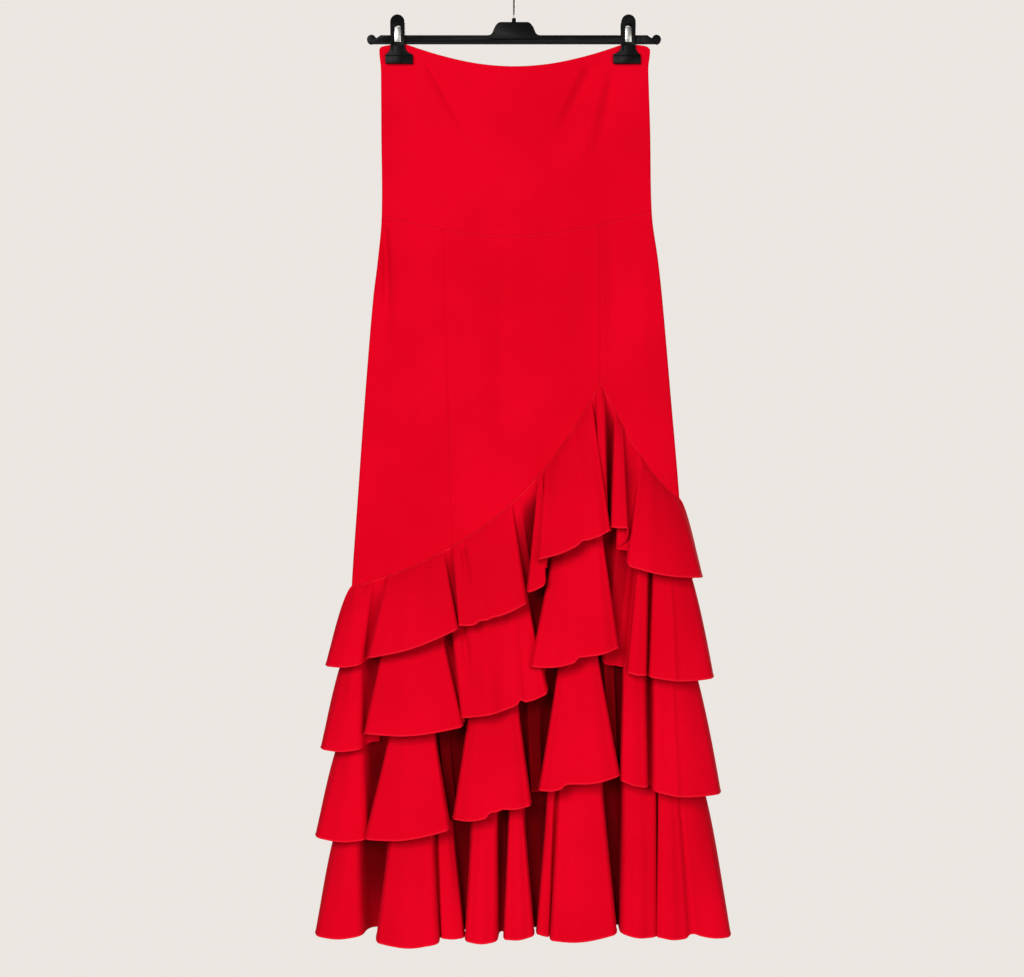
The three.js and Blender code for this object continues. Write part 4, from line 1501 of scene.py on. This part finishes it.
    def _tucked(self, x: Array, z: Array, out: Array, tube: Array) -> Array:
        """Holds the flounce behind the one above it, but no further in than the tube.

        Args:
            x: Places across the skirt.
            z: Their heights.
            out: How far out the cloth would come.
            tube: How far out the tube is.

        Returns:
            How far out the cloth comes.
        """
        if self.cover is None:
            return out
        most = np.maximum(self.cover.limit(x, z), tube)
        return (out + most - np.sqrt((out - most) ** 2 + self.BLEND)) / 2

    def _painted_shade(self, out: Array, v: Array) -> Array:
        """The painted shade by depth in a fold: 0 on a flute's face, up to 1 on a deep fold's floor.

        Args:
            out: How far out the cloth comes.
            v: How far down each place is, as a share of the fall.

        Returns:
            A share for each place.
        """
        wide = self.FOLD["reach"]
        padded = np.pad(out, ((0, 0), (wide, wide)), "edge")
        count = out.shape[1]
        before = np.max([padded[:, i : i + count] for i in range(wide)], axis=0)
        after = np.max([padded[:, wide + i : wide + i + count] for i in range(wide)], axis=0)
        depth = np.minimum(before, after) - out
        most = lerp(*self.SHADE[self.tier], ease(v, *self.FOLD["fall"]))
        return most * ease(depth / lerp(self.FOLD["head"], self.FOLD["hem"], v), *self.FOLD["depth"])

    def seam_top(self, x: Array) -> Array:
        """The height where the flounce starts, just under the cloth above its seam."""
        seam = self.seams.line(self.tier, self.side)
        return seam(x) - np.minimum(SEAM_GAP / 2 * slant(seam, x), 1.0)

    def surface(self) -> ClothWall:
        """Works out the flounce's middle surface, its ridges and its rolled hem.

        Returns:
            The wall.
        """
        section = self.section()
        weights = section.weights(self.COLUMNS[self.side])
        top, hem, side = (section.column(name) for name in ("top", "hem", "side"))
        seam_x = weights @ top
        start = self.seam_top(seam_x)
        fall = start - weights @ section.column("z")
        down = stations(fall, self.HEAD, self.HEM, self.ROWS)
        v = down / fall
        z = start - down
        tucking = (v**self.TUCK_BOW - v) * (1 - np.exp(-down / self.TUCK_START))
        x = seam_x + (weights @ (hem - top)) * v
        x = x + (weights @ (side * (hem - top))) * (v**self.SIDE_BOW - v)
        x = x + (weights @ section.column("tuck")) * tucking
        paced = section.column("reach") * v[..., None] ** section.column("pace")
        reach = np.einsum("ck,rck->rc", weights, paced)
        face = weights @ section.column("face")
        join = SEAM_GAP / 2 + CLOTH / 2 * (1 - v) ** 4
        tube = join + (self.tube.depth(z) + WALL_MID - join) * self.tube.swell(self.tube.across(x, z))
        out = self._tucked(x, z, tube + reach, tube)
        even = np.stack([softened(line, self.EVEN) for line in out])
        out = lerp(out, even, ease(face, *self.FACE["even"]))
        for ridge in self.table_of_ridges():
            out = out + ease(face, *self.FACE["ridged"]) * ridge.lift(x, v, down)
        out = out + self._puckers(seam_x, down)
        thick = np.full_like(x, CLOTH)
        thick[-len(self.HEM) :] = np.array(self.BEAD)[:, None]
        # Painted highlight along the seam and on the hem's bead.
        edge = self.SEAM_LINE["pale"] * bell(down, self.SEAM_LINE["fade"])
        shown = lerp(self.BEAD_IN_FOLD, 1.0, ease(face, *self.FACE["pale"]))
        edge[-len(self.HEM) :] = np.array(self.BEAD_HIGHLIGHT)[:, None] * shown
        # Painted shade in deep folds, which also dims the painted highlights there.
        painted_shade = self._painted_shade(out, v)
        edge = edge * (1 - painted_shade) - painted_shade
        return ClothWall(self.name, x, self.side.value * out, z, thick, edge)

    def _puckers(self, seam_x: Array, down: Array) -> Array:
        """How far the cloth is lifted along its seam, by small gathers and by the turning inside.

        Args:
            seam_x: Where each column meets the seam.
            down: Distances below it.

        Returns:
            The lift outwards.
        """
        pucker, line = self.PUCKER, self.SEAM_LINE
        waves = sum(np.sin(seam_x / pace + self.tier + i) for i, pace in enumerate(pucker["waves"]))
        gathers = waves * np.exp(-down / pucker["fall"]) * ease(down, 0, pucker["start"])
        return pucker["height"] * gathers + line["lift"] * bell(down - line["down"], line["width"])


# ---- The skirt -----------------------------------------------------------------------------------

YOKE_CREASES = (
    Crease(((-103, -92), (-86, -124), (-70, -154), (-44, -204)), 5.0, -3.4, 0.08, 0.55),
    Crease(((-112, -98), (-88, -150), (-64, -198), (-36, -252)), 16, 3.2, 0.2, 0.5),
    Crease(((-66, -98), (-54, -115), (-44, -130), (-31, -150)), 5.0, -2.0, 0.15, 0.5),
    Crease(((79, -98), (64, -125), (48, -160), (28, -194)), 8, 3.6, 0.2, 0.5),
    Crease(((92, -100), (79, -128), (63, -162), (49, -190)), 8, -3.4, 0.2, 0.5),
    Crease(((106, -100), (95, -145), (83, -188), (67, -240)), 8, 3.2, 0.2, 0.55),
    Crease(((117, -106), (108, -148), (100, -186), (93, -222)), 8, -2.6, 0.2, 0.5),
)
LEFT_CREASES = (
    Crease(((-150, -285), (-147, -325), (-146, -380), (-150, -460)), 5.5, -6.5, 0.1, 0.7),
    Crease(((-131, -310), (-131, -420), (-133, -530), (-136, -660)), 13, 2.6),
    Crease(((-102, -320), (-104, -420), (-107, -520), (-110, -660)), 12, -2.0),
)
CENTRE_CREASES = (
    Crease(((-45, -325), (-45, -420), (-46, -520), (-50, -640)), 19, 3.4),
    Crease(((-10, -300), (-11, -400), (-13, -500), (-18, -620)), 13, -3.2),
    Crease(((52, -320), (52, -380), (50, -440), (46, -500)), 22, 2.2),
)
RIGHT_CREASES = (
    Crease(((110, -295), (112, -370), (114, -440), (116, -500)), 11, -2.6, 0.1, 0.6),
    Crease(((145, -300), (147, -390), (150, -480), (155, -560)), 14, 1.8),
)


@dataclass
class Skirt:
    """The whole garment: yoke, panels, the cloth under the flounces, and the flounces themselves."""

    tube: Tube
    seams: Seams
    finish: bpy.types.Material

    CLIPS = ("clip_left_front_jaw", "clip_right_front_jaw")
    UNDER = {"side": 8.0, "depth": 1.7, "top": 0.6, "hem": 12.0}

    def build(self) -> None:
        """Builds every cloth piece, from the waist down."""
        for side in Side:
            self._yoke(side)
            self._under_panel(side)
            self._flounces(side)
        self._front_panels()
        self._back_panel()

    def _flounces(self, side: Side) -> None:
        """The flounces of a side from the top down, each behind the one above it.

        Args:
            side: The side of the skirt.
        """
        above = "panel_front_centre" if side is Side.FRONT else "panel_back"
        cover = None
        for tier in range(len(self.seams.tiers)):
            wall = Flounce(tier, side, self.tube, self.seams, cover).surface()
            wall.dress(self.finish, [above])
            above = f"under_panel_{side.word}"
            cover = Cover.under(wall, side)

    def _hang(self, name: str, side: Side, hangs_from: Sequence[str], **facts: object) -> None:
        """Builds a flat piece. It lies between both side seams unless its facts say otherwise."""
        whole = {"left": self.tube.left, "right": self.tube.right, **facts}
        FlatPiece(name, side, self.tube, **whole).surface().dress(self.finish, hangs_from)

    def _yoke(self, side: Side) -> None:
        """The smooth hip yoke, with soft folds fanning from the clips.

        Args:
            side: The side of the skirt.
        """
        on_back = mirrored(YOKE_CREASES, (-6, -3, 0), (0.8, 0.9, 1.0, 1.1))
        self._hang(
            f"yoke_{side.word}",
            side,
            self.CLIPS,
            top=self.seams.waist,
            foot=self.seams.yoke,
            borders=(Border.TURNED, Border.SEAM, Border.SIDE, Border.SIDE),
            # Painted shade: a dark line along the seam at the yoke's foot.
            pale=(0.0, -0.4, 0.0, 0.0),
            creases=YOKE_CREASES if side is Side.FRONT else on_back,
            columns=130,
            rows=80,
        )

    def _front_panels(self) -> None:
        """Three panels joined at two princess seams."""
        seam, side = Border.SEAM, Border.SIDE
        lines = (self.tube.left, self.seams.left_princess, self.seams.right_princess, self.tube.right)
        cuts = (
            ("left", (seam, seam, side, seam), LEFT_CREASES, 46),
            ("centre", (seam,) * 4, CENTRE_CREASES, 96),
            ("right", (seam, seam, seam, side), RIGHT_CREASES, 60),
        )
        for left, right, (word, borders, creases, columns) in zip(lines, lines[1:], cuts):
            self._hang(
                f"panel_front_{word}",
                Side.FRONT,
                ["yoke_front"],
                top=self.seams.yoke,
                foot=self.seams.line(0, Side.FRONT),
                left=left,
                right=right,
                borders=borders,
                creases=creases,
                columns=columns,
                rows=80,
            )

    def _back_panel(self) -> None:
        """One plain panel, with soft folds like those of the front."""
        front = LEFT_CREASES[1:] + CENTRE_CREASES + RIGHT_CREASES[1:]
        self._hang(
            "panel_back",
            Side.BACK,
            ["yoke_back"],
            top=self.seams.yoke,
            foot=self.seams.line(0, Side.BACK),
            borders=(Border.SEAM, Border.SEAM, Border.SIDE, Border.SIDE),
            creases=mirrored(front, (-14, -7, 0, 7), (1.1,)),
            columns=130,
            rows=90,
        )

    def _under_panel(self, side: Side) -> None:
        """The cloth that the lower flounces are sewn to.

        Args:
            side: The side of the skirt.
        """
        under = self.UNDER
        first, last = (self.seams.line(tier, side) for tier in (0, len(self.seams.tiers) - 1))
        self._hang(
            f"under_panel_{side.word}",
            side,
            [f"yoke_{side.word}"],
            top=lambda x: first(x) - under["top"],
            foot=lambda x: last(x) - under["hem"],
            left=lambda z: self.tube.left(z) + under["side"],
            right=lambda z: self.tube.right(z) - under["side"],
            borders=(Border.HIDDEN,) * 4,
            side_inset=under["side"],
            depth_inset=under["depth"],
            columns=50,
            rows=36,
        )


# ---- The hanger ----------------------------------------------------------------------------------


@dataclass(frozen=True)
class WireHook:
    """The wire hook: a straight shank, a turn, and a round crown that ends in a rounded tip."""

    wire: float = 1.05  # half the wire's thickness
    radius: float = 19.05  # of the crown's middle line
    foot: float = -62.0
    shank: float = -41.0  # height of the shank's upper end
    bend: float = 4.0  # how far below that the turn begins
    turn_in: tuple[float, float] = (-4.5, -4.0)
    start: float = -48.0  # angles of the crown's two ends, in degrees
    end: float = 208.0

    STEPS = {"crown": 90, "shank": 12, "turn": 16, "tip": 6, "round": 24}
    SHARP = 50  # degrees between two faces whose edge isn't smoothed

    def line(self) -> Array:
        """The middle of the wire from its foot to its tip, as (forward, z).

        Returns:
            The points.
        """
        centre = self.wire - self.radius
        angles = np.radians(np.linspace(self.start, self.end, self.STEPS["crown"]))
        crown = np.stack([self.radius * np.cos(angles), centre + self.radius * np.sin(angles)], -1)
        bend = self.shank - self.bend
        heights = np.linspace(self.foot, bend, self.STEPS["shank"])
        shank = np.stack([np.zeros_like(heights), heights], -1)
        ends = np.array([[0, bend], [0, self.shank], crown[0] + self.turn_in, crown[0]])
        t = np.linspace(0, 1, self.STEPS["turn"])[1:-1, None]
        weights = ((1 - t) ** 3, 3 * t * (1 - t) ** 2, 3 * t * t * (1 - t), t**3)
        turn = sum(weight * end for weight, end in zip(weights, ends))
        return np.vstack([shank, turn, crown])

    def mesh(self) -> bpy.types.Mesh:
        """Makes the wire round its line.

        Returns:
            The mesh.
        """
        line = self.line()
        tangent = np.gradient(line, axis=0)
        tangent /= np.linalg.norm(tangent, axis=1, keepdims=True)
        width = np.full(len(line), self.wire)
        tip = np.linspace(0, 1, self.STEPS["tip"])[1:]
        line = np.vstack([line, line[-1] + tangent[-1] * self.wire * tip[:, None]])
        tangent = np.vstack([tangent, np.repeat(tangent[-1:], len(tip), 0)])
        width = np.concatenate([width, self.wire * np.sqrt(np.maximum(0.0004, 1 - tip**2))])
        sides = self.STEPS["round"]
        turn = np.linspace(0, 2 * math.pi, sides, endpoint=False)
        square = np.stack([-tangent[:, 1], tangent[:, 0]], -1)
        across = np.cos(turn)[None, :, None] * width[:, None, None] * square[:, None, :]
        flat = line[:, None, :] + across
        x = np.sin(turn)[None, :] * width[:, None]
        points = np.stack([x, -flat[..., 0], flat[..., 1]], -1).reshape(-1, 3) * MM
        ids = np.arange(len(points)).reshape(-1, sides)
        nexts = np.roll(ids, -1, axis=1)
        faces = np.stack([ids[:-1], nexts[:-1], nexts[1:], ids[1:]], -1).reshape(-1, 4).tolist()
        faces += [ids[0][::-1].tolist(), ids[-1].tolist()]
        mesh = bpy.data.meshes.new("hook")
        mesh.from_pydata(points.tolist(), [], faces)
        shape = bmesh.new()
        shape.from_mesh(mesh)
        bmesh.ops.recalc_face_normals(shape, faces=shape.faces)
        shape.to_mesh(mesh)
        shape.free()
        smooth(mesh, self.SHARP)
        return mesh


@dataclass
class Hanger:
    """The clip hanger: its moulded bar and clips with eased edges, their steel springs and the wire hook."""

    frame: dict
    plastic: bpy.types.Material
    steel: bpy.types.Material

    MOULDED = (
        "hanger_bar",
        "clip_left_front_jaw",
        "clip_left_rear_jaw",
        "clip_right_front_jaw",
        "clip_right_rear_jaw",
    )
    SPRINGS = ("clip_left_spring", "clip_right_spring")
    EASING = {Slot.PLASTIC: (0.35, 3), Slot.STEEL: (0.2, 2)}  # its width in millimetres, and its steps
    ANGLES = (1.5, 28, 40)  # degrees between faces that are joined, eased and left sharp

    def build(self) -> None:
        """Builds the hanger's pieces."""
        for node in self.MOULDED:
            self._eased(node, self.plastic, Slot.PLASTIC)
        for node in self.SPRINGS:
            self._eased(node, self.steel, Slot.STEEL)
        self._dress("hook", WireHook().mesh(), self.steel)

    def _eased(self, node: str, finish: bpy.types.Material, slot: Slot) -> None:
        """A copy of a solid with its sharp edges eased.

        Args:
            node: The solid's name.
            finish: The material.
            slot: The record's slot of that material.
        """
        width, segments = self.EASING[slot]
        flat, eased, sharp = self.ANGLES
        mesh = self.frame["nodes"][node].data.copy()
        shape = bmesh.new()
        shape.from_mesh(mesh)
        bmesh.ops.remove_doubles(shape, verts=shape.verts, dist=1e-6)
        bmesh.ops.dissolve_limit(
            shape,
            angle_limit=math.radians(flat),
            verts=shape.verts,
            edges=shape.edges,
            use_dissolve_boundaries=False,
        )
        corners = [
            edge
            for edge in shape.edges
            if len(edge.link_faces) == 2 and edge.calc_face_angle(0) > math.radians(eased)
        ]
        bmesh.ops.bevel(
            shape,
            geom=corners,
            offset=width * MM,
            offset_type="OFFSET",
            segments=segments,
            profile=0.5,
            affect="EDGES",
            clamp_overlap=True,
            miter_outer="ARC",
        )
        shape.to_mesh(mesh)
        shape.free()
        smooth(mesh, sharp)
        self._dress(node, mesh, finish)

    def _dress(self, node: str, mesh: bpy.types.Mesh, finish: bpy.types.Material) -> None:
        """Gives a mesh its finish and its place among the pieces.

        Args:
            node: The solid's name.
            mesh: The mesh that stands for it.
            finish: The material.
        """
        mesh.materials.clear()
        mesh.materials.append(finish)
        made = add(node + "_finished", mesh)
        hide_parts(node)
        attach(made, "root")
        log.info("%s: %d faces", made.name, len(mesh.polygons))


# ---- The studio ----------------------------------------------------------------------------------


@dataclass
class Studio:
    """A pale floor and surround, soft light and the camera."""

    floor_z: float = -1.95
    floor_radius: float = 3.2
    backdrop: tuple = (0.835, 0.795, 0.755, 1)
    ambient: float = 0.22
    target: tuple = (-0.0023, 0.0, -0.5885)
    distance: float = 2.6
    view_width: float = 1.1776
    sensor: float = 36.0

    LIGHTS = (
        ("key", (-2.1, -5.7, 1.3), 2.6, 366),
        ("fill", (1.9, -3.8, -0.7), 2.0, 74),
        ("rear", (1.6, 5.4, 2.0), 2.6, 390),
    )
    LIGHT_COLOUR = (1.0, 0.97, 0.94)

    def build(self) -> None:
        """Builds the studio round the skirt."""
        self._floor()
        self._world()
        for light in self.LIGHTS:
            self._softbox(*light)
        self._camera()
        settings = bpy.context.scene.view_settings
        settings.view_transform = "Standard"
        settings.look = "None"

    def _floor(self) -> None:
        """A round pale floor under the skirt."""
        shape = bmesh.new()
        bmesh.ops.create_circle(shape, cap_ends=True, segments=96, radius=self.floor_radius)
        mesh = bpy.data.meshes.new("studio_floor")
        shape.to_mesh(mesh)
        shape.free()
        mesh.materials.append(StudioPaint().make())
        floor = add("studio_floor", mesh)
        floor.location = (0, 0, self.floor_z)

    def _world(self) -> None:
        """An even pale surround, dimmer as a light than as a backdrop."""
        world = bpy.data.worlds.new("studio")
        bpy.context.scene.world = world
        recipe = Recipe(world)
        seen = recipe.node("ShaderNodeLightPath", {}, {}, "Is Camera Ray")
        strength = self.ambient + seen * (1 - self.ambient)
        light = recipe.node("ShaderNodeBackground", {}, {"Color": self.backdrop, "Strength": strength})
        recipe.node("ShaderNodeOutputWorld", {}, {"Surface": light})

    def _softbox(self, name: str, place: tuple[float, float, float], size: float, power: float) -> None:
        """A square soft light that looks at the skirt's middle.

        Args:
            name: The light's name.
            place: Where it stands, in metres.
            size: Its side, in metres.
            power: Its power in watts.
        """
        light = bpy.data.lights.new(name, "AREA")
        light.size = size
        light.energy = power
        light.color = self.LIGHT_COLOUR
        made = add(name, light)
        made.location = place
        towards = Vector(self.target) - Vector(place)
        made.rotation_euler = towards.to_track_quat("-Z", "Y").to_euler()

    def _camera(self) -> None:
        """A camera square to the skirt's middle."""
        camera = bpy.data.cameras.new("camera")
        camera.sensor_width = self.sensor
        camera.lens = self.sensor * self.distance / self.view_width
        camera.clip_end = 50
        made = add("camera", camera)
        made.location = Vector(self.target) + Vector((0, -self.distance, 0))
        made.rotation_euler = (math.pi / 2, 0, 0)
        bpy.context.scene.camera = made


def main() -> None:
    """Builds the studio, the hanger and the skirt in order."""
    logging.basicConfig(level=logging.INFO, format="%(name)s: %(message)s")
    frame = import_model()
    Studio().build()
    tube = Tube()
    Hanger(frame, MouldedPlastic().make(), DrawnSteel().make()).build()
    Skirt(tube, Seams(tube), CrepeJersey().make()).build()
    bpy.context.view_layer.update()


if __name__ == "__main__":
    main()
